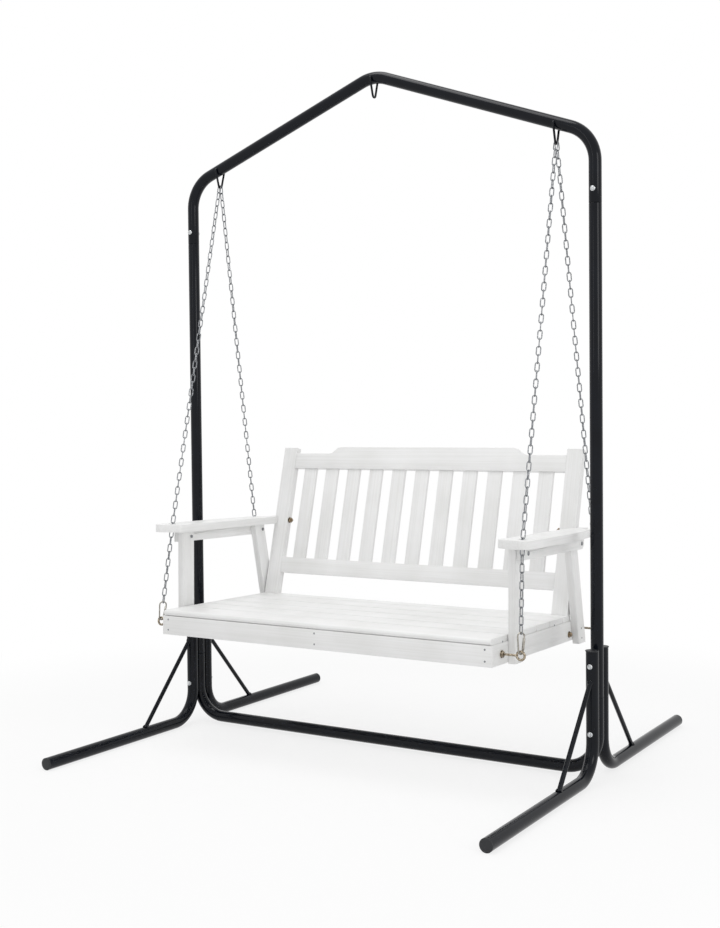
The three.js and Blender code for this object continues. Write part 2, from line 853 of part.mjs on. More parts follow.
// Eye bolt: ring and shank, with a washer outside the rail and a nut inside
function rightEyeBolt(along) {
  const eyeAcross = railSpread + eyeStandOff;
  const ring = new THREE.TorusGeometry(eyeRadius, eyeWireRadius, eyeSides, eyeSteps);
  ring.rotateX(Math.PI / 2).translate(eyeAcross, 0, 0);
  const shankEnd = railInner - seatGap - eyeNutHeight - boltTail;
  const shank = rod('x', eyeShankRadius, shankEnd, eyeAcross - eyeRadius, boltSides);
  const plate = disc(eyeWasherRadius, railSpread + seatGap, eyeWasherThickness, boltSides);
  const nut = disc(eyeNutRadius, railInner - seatGap - eyeNutHeight, eyeNutHeight, 6);
  return fuse([
    ring,
    shank,
    plate.rotateY(Math.PI / 2),
    nut.rotateY(Math.PI / 2),
  ]).translate(0, along, railMidHeight);
}

// One link, long way along Z and flat in the plane Y = 0: a ring drawn out into an oval
function chainLink() {
  const mitre = Math.cos(Math.PI / linkSteps);
  const section = [];
  for (let i = 0; i <= linkWireSides; i += 1) {
    const angle = Math.PI + (i / linkWireSides) * 2 * Math.PI;
    section.push(new THREE.Vector2(
      (linkLegOffset + linkWireRadius * Math.cos(angle)) / mitre,
      linkWireRadius * Math.sin(angle),
    ));
  }
  const ring = bareGeometry(new THREE.LatheGeometry(section, linkSteps).rotateY(Math.PI / linkSteps));
  const stretch = (linkPitch - linkContact - linkInnerWidth) / 2;
  const places = ring.attributes.position;
  for (let i = 0; i < places.count; i += 1) {
    places.setZ(i, places.getZ(i) + Math.sign(places.getZ(i)) * stretch);
  }
  return ring;
}

// Axes of a hanging piece: Z up the chain, X the way its flat side faces, turned from the bench's length
function hangingFrame(up, turn) {
  const across = new THREE.Vector3(Math.cos(turn), Math.sin(turn), 0);
  const normal = up.clone().cross(across).normalize();
  const width = normal.clone().cross(up);
  return new THREE.Matrix4().makeBasis(width, normal, up);
}

// The route of one chain: the seat in the wire hook, the armrest, and the top of the snap hook
function chainRoute(side, end) {
  const isFront = end === 'front';
  const along = isFront ? frontEyeAlong : rearEyeAlong;
  const eye = onBench(side * (railSpread + eyeStandOff), along, railMidHeight);
  const eyeSeat = eye.clone();
  eyeSeat.z += eyeRadius - eyeWireRadius;
  const ridgeDrop = hookBendRadius - hookWireRadius - chainHookGap;
  const hang = hookBendCentre(side * hookSpread);
  hang.y += isFront ? -chainSideStep : chainSideStep;
  hang.z -= Math.sqrt(ridgeDrop ** 2 - chainSideStep ** 2);
  const guide = isFront
    ? onBench(side * armHoleAcross, armHoleAlong + chainHoleShift, armMidHeight)
    : rearGuide(side, hang, eye);
  const up = guide.clone().sub(eyeSeat).normalize();
  const clipFoot = eyeSeat.clone().addScaledVector(up, -clipEyeGap);
  const clipTop = clipFoot.clone().addScaledVector(up, clipInnerLength - clipLinkGap);
  return { hang, guide, clipFoot, clipTop, up };
}

// The rear chain passes just outside the armrest's narrow end
function rearGuide(side, hang, eye) {
  const guide = onBench(0, armTaperEnd, armMidHeight);
  const share = (hang.z - guide.z) / (hang.z - eye.z);
  guide.y = hang.y + share * (eye.y - hang.y);
  guide.x = side * (armTaperEdge + linkLegOffset - chainArmLean);
  return guide;
}

function chain(side, end) {
  const { hang, guide, clipTop } = chainRoute(side, end);
  const upper = hang.distanceTo(guide);
  const total = upper + guide.distanceTo(clipTop);
  const count = 2 * Math.round(total / linkPitch / 2);
  const place = (distance) => (distance < upper
    ? hang.clone().lerp(guide, distance / upper)
    : guide.clone().lerp(clipTop, (distance - upper) / (total - upper)));
  const linkShape = chainLink();
  const fit = total / count / linkPitch;
  let links = null;
  for (let i = 0; i < count; i += 1) {
    const top = place((total * i) / count);
    const foot = place((total * (i + 1)) / count);
    const up = top.clone().sub(foot).normalize();
    const turn = i * Math.PI / 2 + (clipTurn * i) / (count - 1);
    const frame = hangingFrame(up, turn).setPosition(top.add(foot).multiplyScalar(1 / 2));
    const link = toSolid(linkShape.clone().scale(1, 1, fit).applyMatrix4(frame));
    links = links ? links.add(link) : link;
  }
  return toGeometry(links);
}

// The tangent of a snap hook's leg on the gate's side, in the hook's own plane
const clipLegSlope = Math.asin((clipTopRadius - clipFootRadius) / clipSpan);
const clipLegNormal = new THREE.Vector3(Math.cos(clipLegSlope), 0, -Math.sin(clipLegSlope));
const clipLegUp = new THREE.Vector3(Math.sin(clipLegSlope), 0, Math.cos(clipLegSlope));
const clipFootContact = clipLegNormal.clone().multiplyScalar(clipFootRadius);
const clipTopContact = new THREE.Vector3(0, 0, clipSpan).addScaledVector(clipLegNormal, clipTopRadius);
const rivetPlace = clipFootContact.clone().addScaledVector(clipLegUp, clipStub - rivetSetBack);

// Wire of a snap hook, with the centre of its lower bend at the origin
function clipBody() {
  const stations = [];
  const arc = (centre, radius, from, to, steps) => {
    for (let i = 0; i <= steps; i += 1) {
      const angle = from + ((to - from) * i) / steps;
      stations.push({
        point: new THREE.Vector3(radius * Math.cos(angle), 0, centre + radius * Math.sin(angle)),
        tangent: new THREE.Vector3(Math.sin(angle), 0, -Math.cos(angle)),
      });
    }
  };
  const down = clipLegUp.clone().negate();
  stations.push({ point: clipFootContact.clone().addScaledVector(clipLegUp, clipStub), tangent: down });
  arc(0, clipFootRadius, -clipLegSlope, clipLegSlope - Math.PI, 5);
  arc(clipSpan, clipTopRadius, clipLegSlope - Math.PI, -clipLegSlope - 2 * Math.PI, 6);
  stations.push({ point: clipTopContact.clone().addScaledVector(down, clipNose), tangent: down });
  const halfRivet = clipWireReach + seatGap + gateWall;
  const rivet = rod('y', rivetRadius, -halfRivet, halfRivet, rivetSides);
  rivet.translate(rivetPlace.x, 0, rivetPlace.z);
  return fuse([sweep(stations, clipWireRadius, clipSides), rivet]);
}

// Gate: a folded channel round the wire, open to the outside, hung on the rivet at its origin
function clipGate() {
  const inner = clipWireReach + seatGap;
  const outer = inner + gateWall;
  const legLength = clipTopContact.distanceTo(clipFootContact);
  const length = legLength - clipStub + rivetSetBack - clipNose + gateOverlap;
  const shape = new THREE.Shape([
    new THREE.Vector2(gateLip, -outer),
    new THREE.Vector2(gateLip, -inner),
    new THREE.Vector2(-inner, -inner),
    new THREE.Vector2(-inner, inner),
    new THREE.Vector2(gateLip, inner),
    new THREE.Vector2(gateLip, outer),
    new THREE.Vector2(-outer, outer),
    new THREE.Vector2(-outer, -outer),
  ].reverse());
  const channel = slab(shape, -gateHeel, length + gateHeel);
  const heelRelief = box(
    [-outer - cutOverrun, -inner],
    [-outer - cutOverrun, outer + cutOverrun],
    [-gateHeel - cutOverrun, 0],
  );
  const bore = rod('y', rivetRadius + seatGap, -outer - cutOverrun, outer + cutOverrun, rivetSides);
  return cut(channel, [heelRelief, bore]).rotateY(clipLegSlope);
}

function clipFrame(side, end) {
  const { clipFoot, up } = chainRoute(side, end);
  const bend = clipFoot.clone().addScaledVector(up, clipFootRadius - clipWireRadius);
  return hangingFrame(up, clipTurn).setPosition(bend);
}

function addStand() {
  addMesh(pieces, 'top_tube', topTube(), steelFinish);
  addPair(pieces, 'upright', rightUpright(), steelFinish);
  addMesh(pieces, 'base_bar', baseBar(), steelFinish);
  addPair(pieces, 'rear_foot', rightRearFoot(), steelFinish);
  addPair(pieces, 'front_foot', rightFrontFoot(), steelFinish);
  addPair(pieces, 'wire_hook', wireHook(hookSpread), steelFinish);
  addMesh(pieces, 'centre_wire_hook', wireHook(0), steelFinish);
}

function addBench() {
  addMesh(bench, 'apron', apron(), paintFinish);
  addMesh(bench, 'under_seat_frame', underSeatFrame(), paintFinish);
  addPair(bench, 'side_rail', rightSideRail(), paintFinish);
  addMesh(bench, 'seat_slat_1', frontSlat(), paintFinish);
  for (let i = 0; i < slatCount; i += 1) {
    addMesh(bench, `seat_slat_${i + 2}`, middleSlat(i), paintFinish);
  }
  addMesh(bench, `seat_slat_${slatCount + 2}`, rearSlat(), paintFinish);
  addPair(back, 'back_post', rightBackPost(), paintFinish);
  addMesh(back, 'back_bottom_rail', bottomRail(), paintFinish);
  addMesh(back, 'back_top_rail', topRail(), paintFinish);
  backSlatCentres().forEach((centre, i) => {
    addMesh(back, `back_slat_${i + 1}`, backSlat(centre, 0), paintFinish);
  });
  addPair(bench, 'arm_post', rightArmPost(), paintFinish);
  addPair(bench, 'arm_leg', rightArmLeg(), paintFinish);
  addPair(bench, 'arm_bearer', rightArmBearer(), paintFinish);
  addPair(bench, 'armrest', rightArmrest(), paintFinish);
  addPair(bench, 'front_eye_bolt', rightEyeBolt(frontEyeAlong), brassFinish);
  addPair(bench, 'rear_eye_bolt', rightEyeBolt(rearEyeAlong), brassFinish);
}

function addHangers() {
  const hook = clipBody();
  const gate = clipGate().translate(rivetPlace.x, 0, rivetPlace.z);
  for (const [sideName, side] of [['left', -1], ['right', 1]]) {
    for (const end of ['front', 'rear']) {
      const name = `${sideName}_${end}`;
      const frame = clipFrame(side, end);
      addMesh(pieces, `${name}_chain`, chain(side, end), zincFinish);
      addMesh(pieces, `${name}_snap_hook`, hook.clone().applyMatrix4(frame), brassFinish);
      addMesh(pieces, `${name}_gate`, gate.clone().applyMatrix4(frame), brassFinish);
    }
  }
}

addStand();
addBench();
addHangers();

export default pieces;
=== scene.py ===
# Garden swing chair: a white slatted bench hung by chains from a dark steel tube stand
# X runs along the bench, the front is -Y and the floor is Z = 0. Sizes are in mm where nothing else is said.
import math

import bmesh
import bpy
from mathutils import Matrix, Vector


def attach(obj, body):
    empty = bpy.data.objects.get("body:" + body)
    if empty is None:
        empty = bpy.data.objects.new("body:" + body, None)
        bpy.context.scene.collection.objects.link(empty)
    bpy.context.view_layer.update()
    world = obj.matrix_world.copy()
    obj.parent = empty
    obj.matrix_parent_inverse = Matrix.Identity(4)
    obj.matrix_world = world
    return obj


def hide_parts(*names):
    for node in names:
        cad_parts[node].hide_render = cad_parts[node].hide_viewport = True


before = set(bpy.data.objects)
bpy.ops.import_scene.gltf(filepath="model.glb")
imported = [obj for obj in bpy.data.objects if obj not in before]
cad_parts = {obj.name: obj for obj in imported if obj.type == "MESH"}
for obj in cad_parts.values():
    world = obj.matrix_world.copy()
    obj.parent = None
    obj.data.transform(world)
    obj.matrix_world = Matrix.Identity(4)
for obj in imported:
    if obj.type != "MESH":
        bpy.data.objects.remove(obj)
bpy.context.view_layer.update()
scene = bpy.context.scene
scene.view_settings.view_transform = "Standard"
print("frame loaded")


# Small helpers

mergeWithin = 0.00001  # m, points nearer than this become one
flatUnder = 1          # degrees
onAxis = 0.001         # how near a turned profile comes to its own axis
noiseLow, noiseHigh = 0.3, 0.7  # what a noise mostly stays between


def mm(*values):
    return Vector([value / 1000 for value in values])


def linear(code):
    parts = [int(code[i:i + 2], 16) / 255 for i in (1, 3, 5)]
    return tuple(c / 12.92 if c <= 0.04045 else ((c + 0.055) / 1.055) ** 2.4 for c in parts) + (1,)


def addNode(tree, kind, inputs=None, **settings):
    node = tree.nodes.new(kind)
    for key, value in settings.items():
        setattr(node, key, value)
    for key, value in (inputs or {}).items():
        if isinstance(value, bpy.types.NodeSocket):
            tree.links.new(value, node.inputs[key])
        else:
            node.inputs[key].default_value = value
    return node


# A ramp from one colour to another between two places of a noise
def addRamp(tree, noise, places, codes):
    node = addNode(tree, "ShaderNodeValToRGB", {"Fac": noise.outputs["Fac"]})
    for element, place, code in zip(node.color_ramp.elements, places, codes):
        element.position = place
        element.color = linear(code)
    return node


def newMaterial(name):
    material = bpy.data.materials.new(name)
    material.use_nodes = True
    material.node_tree.nodes.clear()
    return material, material.node_tree


def finishMaterial(tree, shader):
    addNode(tree, "ShaderNodeOutputMaterial", {"Surface": shader.outputs[0]})


# How the bench hangs and how its back and legs lean
bench = {
    "tilt": math.radians(1),
    "tiltEdge": (0, -377, 378),       # lower front edge of the apron, which the tilt turns about
    "backLean": math.radians(13.85),  # in the bench's own frame
    "backFoot": (0, 170, 456),        # where the back's own frame starts
    "legLean": math.radians(12),
}


# Materials

# White exterior paint on softwood: a satin film that follows the raised grain
paintedWood = {
    "white": "#F3F3F3",
    "grainShade": "#EDEDEC",
    "grainPlaces": (0.32, 0.58),
    "fullCoat": "#FFFFFF",
    "thinCoat": "#F7F7F6",
    "coatPlaces": (0.3, 0.7),
    "roughness": 0.42,
    "grainLength": 480,   # along the board
    "grainWidth": 4.5,    # across it, coarser than real so that it shows
    "grainHeight": 0.05,
    "patch": 140,         # how far the brushed coat thins and thickens
}


def makePaintedWood(name, along, lean=0):
    wood = paintedWood
    material, tree = newMaterial(name)
    coords = addNode(tree, "ShaderNodeTexCoord")
    size = [wood["grainWidth"] / 1000] * 3
    size["XYZ".index(along)] = wood["grainLength"] / 1000
    turned = addNode(tree, "ShaderNodeMapping", {
        "Vector": coords.outputs["Object"], "Rotation": (lean, 0, 0), "Scale": size}, vector_type="TEXTURE")
    grain = addNode(tree, "ShaderNodeTexNoise", {
        "Vector": turned.outputs[0], "Scale": 1.0, "Detail": 3.0, "Roughness": 0.6, "Distortion": 0.4})
    cloud = addNode(tree, "ShaderNodeTexNoise", {
        "Vector": coords.outputs["Object"], "Scale": 1000 / wood["patch"], "Detail": 2.0})
    streaks = addRamp(tree, grain, wood["grainPlaces"], (wood["grainShade"], wood["white"]))
    patches = addRamp(tree, cloud, wood["coatPlaces"], (wood["thinCoat"], wood["fullCoat"]))
    colour = addNode(tree, "ShaderNodeMix", {0: 1.0, 6: streaks.outputs[0], 7: patches.outputs[0]},
                     data_type="RGBA", blend_type="MULTIPLY")
    bump = addNode(tree, "ShaderNodeBump", {
        "Height": grain.outputs["Fac"], "Strength": 0.5, "Distance": wood["grainHeight"] / 1000})
    shader = addNode(tree, "ShaderNodeBsdfPrincipled", {
        "Base Color": colour.outputs[2], "Roughness": wood["roughness"], "Normal": bump.outputs[0]})
    finishMaterial(tree, shader)
    return material


# Gloss powder coat on steel tube: a thick dark film with a faint orange peel
powderCoat = {
    "colour": "#080B12",
    "rubbed": "#0E121A",
    "rubbedPlaces": (0.35, 0.75),
    "roughness": 0.12,
    "smoother": 0.02,      # off the roughness where the film is new
    "rougher": 0.04,       # on it where the film is rubbed
    "shine": 0.19,         # specular level
    "patchesPerMetre": 14,
    "peel": 2.4,           # between the dimples
    "peelHeight": 0.02,
}


def makePowderCoat():
    coat = powderCoat
    material, tree = newMaterial("glossPowderCoat")
    coords = addNode(tree, "ShaderNodeTexCoord")
    peel = addNode(tree, "ShaderNodeTexNoise", {
        "Vector": coords.outputs["Object"], "Scale": 1000 / coat["peel"], "Detail": 1.0})
    dust = addNode(tree, "ShaderNodeTexNoise", {
        "Vector": coords.outputs["Object"], "Scale": coat["patchesPerMetre"], "Detail": 4.0, "Roughness": 0.6})
    tone = addRamp(tree, dust, coat["rubbedPlaces"], (coat["colour"], coat["rubbed"]))
    haze = addNode(tree, "ShaderNodeMapRange", {
        "Value": dust.outputs["Fac"], "From Min": noiseLow, "From Max": noiseHigh,
        "To Min": coat["roughness"] - coat["smoother"], "To Max": coat["roughness"] + coat["rougher"]})
    bump = addNode(tree, "ShaderNodeBump", {
        "Height": peel.outputs["Fac"], "Strength": 0.3, "Distance": coat["peelHeight"] / 1000})
    shader = addNode(tree, "ShaderNodeBsdfPrincipled", {
        "Base Color": tone.outputs[0], "Roughness": haze.outputs[0], "Normal": bump.outputs[0],
        "Specular IOR Level": coat["shine"]})
    finishMaterial(tree, shader)
    return material


# Plated steel, one maker for each plating: bright zinc, yellow zinc, the browner yellow zinc of the back bolts,
# worn yellow zinc and hot-dip galvanising. On the yellow zinc, the back bolts' zinc and the galvanising,
# the dark end of the mottle is partly painted dark reflection.
platings = {
    "brightZinc": {"light": "#D2D4D5", "dark": "#AEB1B3", "roughness": 0.24, "spangle": 6},
    "yellowZinc": {"light": "#C8BCA8", "dark": "#4C3F31", "roughness": 0.2, "spangle": 3.5},
    "brownedZinc": {"light": "#AD9A80", "dark": "#3E3126", "roughness": 0.18, "spangle": 5},
    "dullYellowZinc": {"light": "#BDBAB2", "dark": "#75716A", "roughness": 0.26, "spangle": 4},
    "galvanisedSteel": {"light": "#ACAEB1", "dark": "#5E6165", "roughness": 0.3, "spangle": 3.5},
}
platingFilm = {
    "tonePlaces": (0.35, 0.65),
    "rougher": 0.1,        # on the roughness where the mottle is dark, partly painted dark reflection
    "smoother": 0.04,      # off it where the film is light
    "spangleHeight": 0.05,
}


def makePlating(name):
    plating = platings[name]
    film = platingFilm
    material, tree = newMaterial(name)
    coords = addNode(tree, "ShaderNodeTexCoord")
    mottle = addNode(tree, "ShaderNodeTexNoise", {
        "Vector": coords.outputs["Object"], "Scale": 1000 / plating["spangle"], "Detail": 3.0, "Roughness": 0.6})
    # The dark end of this ramp is partly painted dark reflection on the yellow zinc, browned zinc and galvanised
    # platings
    tone = addRamp(tree, mottle, film["tonePlaces"], (plating["dark"], plating["light"]))
    dull = addNode(tree, "ShaderNodeMapRange", {
        "Value": mottle.outputs["Fac"], "From Min": noiseLow, "From Max": noiseHigh,
        "To Min": plating["roughness"] + film["rougher"], "To Max": plating["roughness"] - film["smoother"]})
    bump = addNode(tree, "ShaderNodeBump", {
        "Height": mottle.outputs["Fac"], "Strength": 0.2, "Distance": film["spangleHeight"] / 1000})
    shader = addNode(tree, "ShaderNodeBsdfPrincipled", {
        "Base Color": tone.outputs[0], "Roughness": dull.outputs[0], "Metallic": 1.0, "Normal": bump.outputs[0]})
    finishMaterial(tree, shader)
    return material


# Moulded polyethylene of the caps and plugs: a little greyer than the tube, and matt
moulding = {
    "colour": "#15171A",
    "spark": "#1E2024",
    "sparkPlaces": (0.3, 0.7),
    "roughness": 0.48,
    "sparksPerMetre": 900,
    "sparkHeight": 0.08,
}


def makeCapPlastic():
    material, tree = newMaterial("mouldedBlackPolyethylene")
    coords = addNode(tree, "ShaderNodeTexCoord")
    spark = addNode(tree, "ShaderNodeTexNoise", {
        "Vector": coords.outputs["Object"], "Scale": moulding["sparksPerMetre"], "Detail": 2.0})
    tone = addRamp(tree, spark, moulding["sparkPlaces"], (moulding["colour"], moulding["spark"]))
    bump = addNode(tree, "ShaderNodeBump", {
        "Height": spark.outputs["Fac"], "Strength": 0.3, "Distance": moulding["sparkHeight"] / 1000})
    shader = addNode(tree, "ShaderNodeBsdfPrincipled", {
        "Base Color": tone.outputs[0], "Roughness": moulding["roughness"], "Normal": bump.outputs[0]})
    finishMaterial(tree, shader)
    return material


woodAlongX = makePaintedWood("whitePaintedWoodLong", "X")
woodAlongY = makePaintedWood("whitePaintedWoodDeep", "Y")
woodUpright = makePaintedWood("whitePaintedWoodUpright", "Z")
woodLeaning = makePaintedWood("whitePaintedWoodLeaning", "Z", -bench["backLean"] - bench["tilt"])
woodRaked = makePaintedWood("whitePaintedWoodRaked", "Z", bench["legLean"])
coatedSteel = makePowderCoat()
brightZinc = makePlating("brightZinc")
yellowZinc = makePlating("yellowZinc")
brownedZinc = makePlating("brownedZinc")
dullYellowZinc = makePlating("dullYellowZinc")
galvanised = makePlating("galvanisedSteel")
capPlastic = makeCapPlastic()
print("materials made")


# Finishing a piece: its mesh goes into the scene with its materials and its body, and the nodes that it stands for
# are hidden

def finishPiece(mesh, name, body, materials, nodes=(), smoothUnder=40):
    bmesh.ops.remove_doubles(mesh, verts=mesh.verts, dist=mergeWithin)
    bmesh.ops.recalc_face_normals(mesh, faces=mesh.faces)
    for face in mesh.faces:
        face.smooth = True
    data = bpy.data.meshes.new(name)
    mesh.to_mesh(data)
    mesh.free()
    data.set_sharp_from_angle(angle=math.radians(smoothUnder))
    for material in materials:
        data.materials.append(material)
    piece = bpy.data.objects.new(name, data)
    scene.collection.objects.link(piece)
    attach(piece, body)
    if nodes:
        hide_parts(*nodes)


# A copy of a node's solid in one mesh
def nodeMesh(node):
    mesh = bmesh.new()
    mesh.from_mesh(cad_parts[node].data)
    bmesh.ops.remove_doubles(mesh, verts=mesh.verts, dist=mergeWithin)
    return mesh


# Faces that meet at less than flatUnder degrees become one
def joinFlatFaces(mesh):
    bmesh.ops.dissolve_limit(mesh, angle_limit=math.radians(flatUnder), verts=mesh.verts, edges=mesh.edges)


# Edges that turn by more than sharpOver degrees are rounded
def easeEdges(mesh, sharpOver, width, steps):
    sharp = [item for item in mesh.edges
             if len(item.link_faces) == 2 and item.calc_face_angle(0) > math.radians(sharpOver)]
    bmesh.ops.bevel(mesh, geom=sharp, offset=width / 1000, offset_type="OFFSET", affect="EDGES",
                    segments=steps, profile=0.5, material=-1, clamp_overlap=True)


def paint(mesh, facesBefore, index):
    for face in mesh.faces:
        if face not in facesBefore:
            face.material_index = index


# Round wire and tube, drawn along straight runs and turned round each bend

def openRing(mesh, at, heading, radius, sides):
    turn = heading.to_track_quat("Z", "Y").to_matrix().to_4x4()
    made = bmesh.ops.create_circle(mesh, segments=sides, radius=radius,
                                   matrix=Matrix.Translation(at) @ turn @ Matrix.Rotation(math.pi / sides, 4, "Z"))
    return list({edge for vert in made["verts"] for edge in vert.link_edges})


def ringVerts(edges):
    return list({vert for edge in edges for vert in edge.verts})


def extrudeRing(mesh, edges, step):
    made = bmesh.ops.extrude_edge_only(mesh, edges=edges)["geom"]
    verts = [item for item in made if isinstance(item, bmesh.types.BMVert)]
    bmesh.ops.translate(mesh, verts=verts, vec=step)
    return [item for item in made if isinstance(item, bmesh.types.BMEdge) and all(v in verts for v in item.verts)]


def spinRing(mesh, edges, centre, axis, angle, steps):
    made = bmesh.ops.spin(mesh, geom=edges + ringVerts(edges), cent=centre, axis=axis,
                          angle=angle, steps=steps, use_merge=False, use_duplicate=False)
    return [item for item in made["geom_last"] if isinstance(item, bmesh.types.BMEdge)]


def closeRing(mesh, edges):
    bmesh.ops.holes_fill(mesh, edges=edges, sides=0)


def runTube(mesh, corners, bends, radius, sides, bendSteps=1):
    heading = (corners[1] - corners[0]).normalized()
    first = openRing(mesh, corners[0], heading, radius, sides)
    closeRing(mesh, first)
    ring = first
    at = corners[0]
    for i, bend in enumerate(bends):
        corner = corners[i + 1]
        out = (corners[i + 2] - corner).normalized()
        turn = heading.angle(out)
        trim = bend * math.tan(turn / 2)
        start = corner - heading * trim
        if (start - at).length > mergeWithin:
            ring = extrudeRing(mesh, ring, start - at)
        centre = corner + (out - heading).normalized() * (bend / math.cos(turn / 2))
        ring = spinRing(mesh, ring, centre, heading.cross(out), turn, bendSteps)
        at = corner + out * trim
        heading = out
    ring = extrudeRing(mesh, ring, corners[-1] - at)
    closeRing(mesh, ring)
    return first, ring


# Every vertex joined by edges to the ones given
def grow(verts):
    found = set(verts)
    edge = list(verts)
    while edge:
        vert = edge.pop()
        for link in vert.link_edges:
            other = link.other_vert(vert)
            if other not in found:
                found.add(other)
                edge.append(other)
    return found


# A turned piece from (radius, height) pairs, standing on Z, then put in its place
def turnProfile(mesh, profile, place, steps=24):
    verts = [mesh.verts.new(mm(radius, 0, height)) for radius, height in profile]
    edges = [mesh.edges.new(pair) for pair in zip(verts, verts[1:])]
    made = bmesh.ops.spin(mesh, geom=verts + edges, cent=(0, 0, 0), axis=(0, 0, 1),
                          angle=math.tau, steps=steps, use_merge=True, use_duplicate=False)
    turned = {item for item in made["geom_last"] if isinstance(item, bmesh.types.BMVert)}
    shell = grow(set(verts) | turned)
    bmesh.ops.transform(mesh, matrix=place, verts=list(shell))


# A closed disc whose rim is given in (in from the radius, height) pairs
def turnDisc(mesh, radius, rim, place, steps=24):
    edge = [(radius - inset, height) for inset, height in rim]
    turnProfile(mesh, [(onAxis, rim[0][1])] + edge + [(onAxis, rim[-1][1])], place, steps)


def facing(at, direction):
    return Matrix.Translation(at) @ direction.to_track_quat("Z", "Y").to_matrix().to_4x4()


# Fasteners

domeRim = 0.3      # share of a domed head's height that is its straight rim
domeAngles = [math.radians(step) for step in (0, 18, 36, 54, 72)]
nutEase = 0.5
threadEase = 0.6


# A head with a rounded crown, standing out along Z from its seat
def domedHead(mesh, place, radius, height):
    crown = [(radius * math.cos(a), height * (domeRim + (1 - domeRim) * math.sin(a))) for a in domeAngles]
    turnProfile(mesh, [(onAxis, 0), (radius, 0)] + crown + [(onAxis, height)], place)


def hexNut(mesh, acrossFlats, height, place):
    radius = acrossFlats / 2 / math.cos(math.pi / 6) / 1000
    made = bmesh.ops.create_cone(mesh, cap_ends=True, segments=6, radius1=radius, radius2=radius,
                                 depth=height / 1000, matrix=place @ Matrix.Translation(mm(0, 0, height / 2)))
    edges = {edge for vert in made["verts"] for edge in vert.link_edges}
    bmesh.ops.bevel(mesh, geom=list(edges), offset=nutEase / 1000, offset_type="OFFSET", affect="EDGES",
                    segments=2, profile=0.5, material=-1)


def washer(mesh, radius, thickness, ease, place, steps=24):
    rim = ((ease, 0), (0, ease), (0, thickness - ease), (ease, thickness))
    turnDisc(mesh, radius, rim, place, steps)


# The bit of thread that stands out of a nut, measured from the nut's seat
def thread(mesh, radius, length, place):
    turnDisc(mesh, radius, ((0, 0), (0, length - threadEase), (threadEase, length)), place, steps=16)


# Stand

stand = {
    "tubeRadius": 19,
    "tubeSides": 40,
    "spread": 748,      # from the middle to each upright
    "shoulder": 1889.6,
    "apex": 2166.2,
    "shoulderBend": 115,
    "apexBend": 130,
    "topBendSteps": 16,
    "topSeam": 1687,
    "baseSeam": 242,
    "baseBar": 26,
    "baseBend": 100,
    "baseBendSteps": 18,
    "seamGap": 0.3,
    "spigotRadius": 16.7,
    "spigotLength": 70,
    "topBolt": 1727,
    "endRound": 1.4,
}

# The long bolts of the stand: a head in front, a nut behind and, at the base, some thread
frameBolt = {
    "headRadius": 8,
    "headHeight": 5,
    "nutFlats": 13,
    "nutHeight": 6,
    "threadRadius": 4,
    "threadLength": 8,
}


def softEnds(mesh, rings, radius):
    edges = [edge for ring in rings for edge in ring if edge.is_valid]
    bmesh.ops.bevel(mesh, geom=edges, offset=radius / 1000, offset_type="OFFSET", affect="EDGES",
                    segments=3, profile=0.5, material=-1)


def addFrameBolt(mesh, x, reach, z, withThread):
    b = frameBolt
    rear = Vector((0, 1, 0))
    domedHead(mesh, facing(mm(x, -reach, z), -rear), b["headRadius"], b["headHeight"])
    hexNut(mesh, b["nutFlats"], b["nutHeight"], facing(mm(x, reach, z), rear))
    if withThread:
        thread(mesh, b["threadRadius"], b["threadLength"], facing(mm(x, reach, z), rear))


def makeTopTube():
    s = stand
    mesh = bmesh.new()
    corners = [mm(-s["spread"], 0, s["topSeam"]), mm(-s["spread"], 0, s["shoulder"]), mm(0, 0, s["apex"]),
               mm(s["spread"], 0, s["shoulder"]), mm(s["spread"], 0, s["topSeam"])]
    bends = [s["shoulderBend"] / 1000, s["apexBend"] / 1000, s["shoulderBend"] / 1000]
    ends = runTube(mesh, corners, bends, s["tubeRadius"] / 1000, s["tubeSides"], s["topBendSteps"])
    softEnds(mesh, ends, s["endRound"])
    finishPiece(mesh, "topTube", "stand", [coatedSteel], ["top_tube"])


def makeUprights():
    s = stand
    for side, word in ((-1, "left"), (1, "right")):
        mesh = bmesh.new()
        x = side * s["spread"]
        ends = runTube(mesh, [mm(x, 0, s["baseSeam"] + s["seamGap"]), mm(x, 0, s["topSeam"] - s["seamGap"])],
                       [], s["tubeRadius"] / 1000, s["tubeSides"])
        softEnds(mesh, ends, s["endRound"])
        spigotEnds = [mm(x, 0, s["baseSeam"] - s["spigotLength"]), mm(x, 0, s["topSeam"] + s["spigotLength"])]
        runTube(mesh, spigotEnds, [], s["spigotRadius"] / 1000, s["tubeSides"])
        before = set(mesh.faces)
        addFrameBolt(mesh, x, s["tubeRadius"] + s["seamGap"], s["topBolt"], withThread=False)
        paint(mesh, before, 1)
        finishPiece(mesh, word + "Upright", "stand",
                    [coatedSteel, brightZinc], [word + "_upright"])


def makeBaseBar():
    s = stand
    mesh = bmesh.new()
    corners = [mm(-s["spread"], 0, s["baseSeam"]), mm(-s["spread"], 0, s["baseBar"]),
               mm(s["spread"], 0, s["baseBar"]), mm(s["spread"], 0, s["baseSeam"])]
    ends = runTube(mesh, corners, [s["baseBend"] / 1000] * 2, s["tubeRadius"] / 1000,
                   s["tubeSides"], s["baseBendSteps"])
    softEnds(mesh, ends, s["endRound"])
    finishPiece(mesh, "baseBar", "stand", [coatedSteel], ["base_bar"])


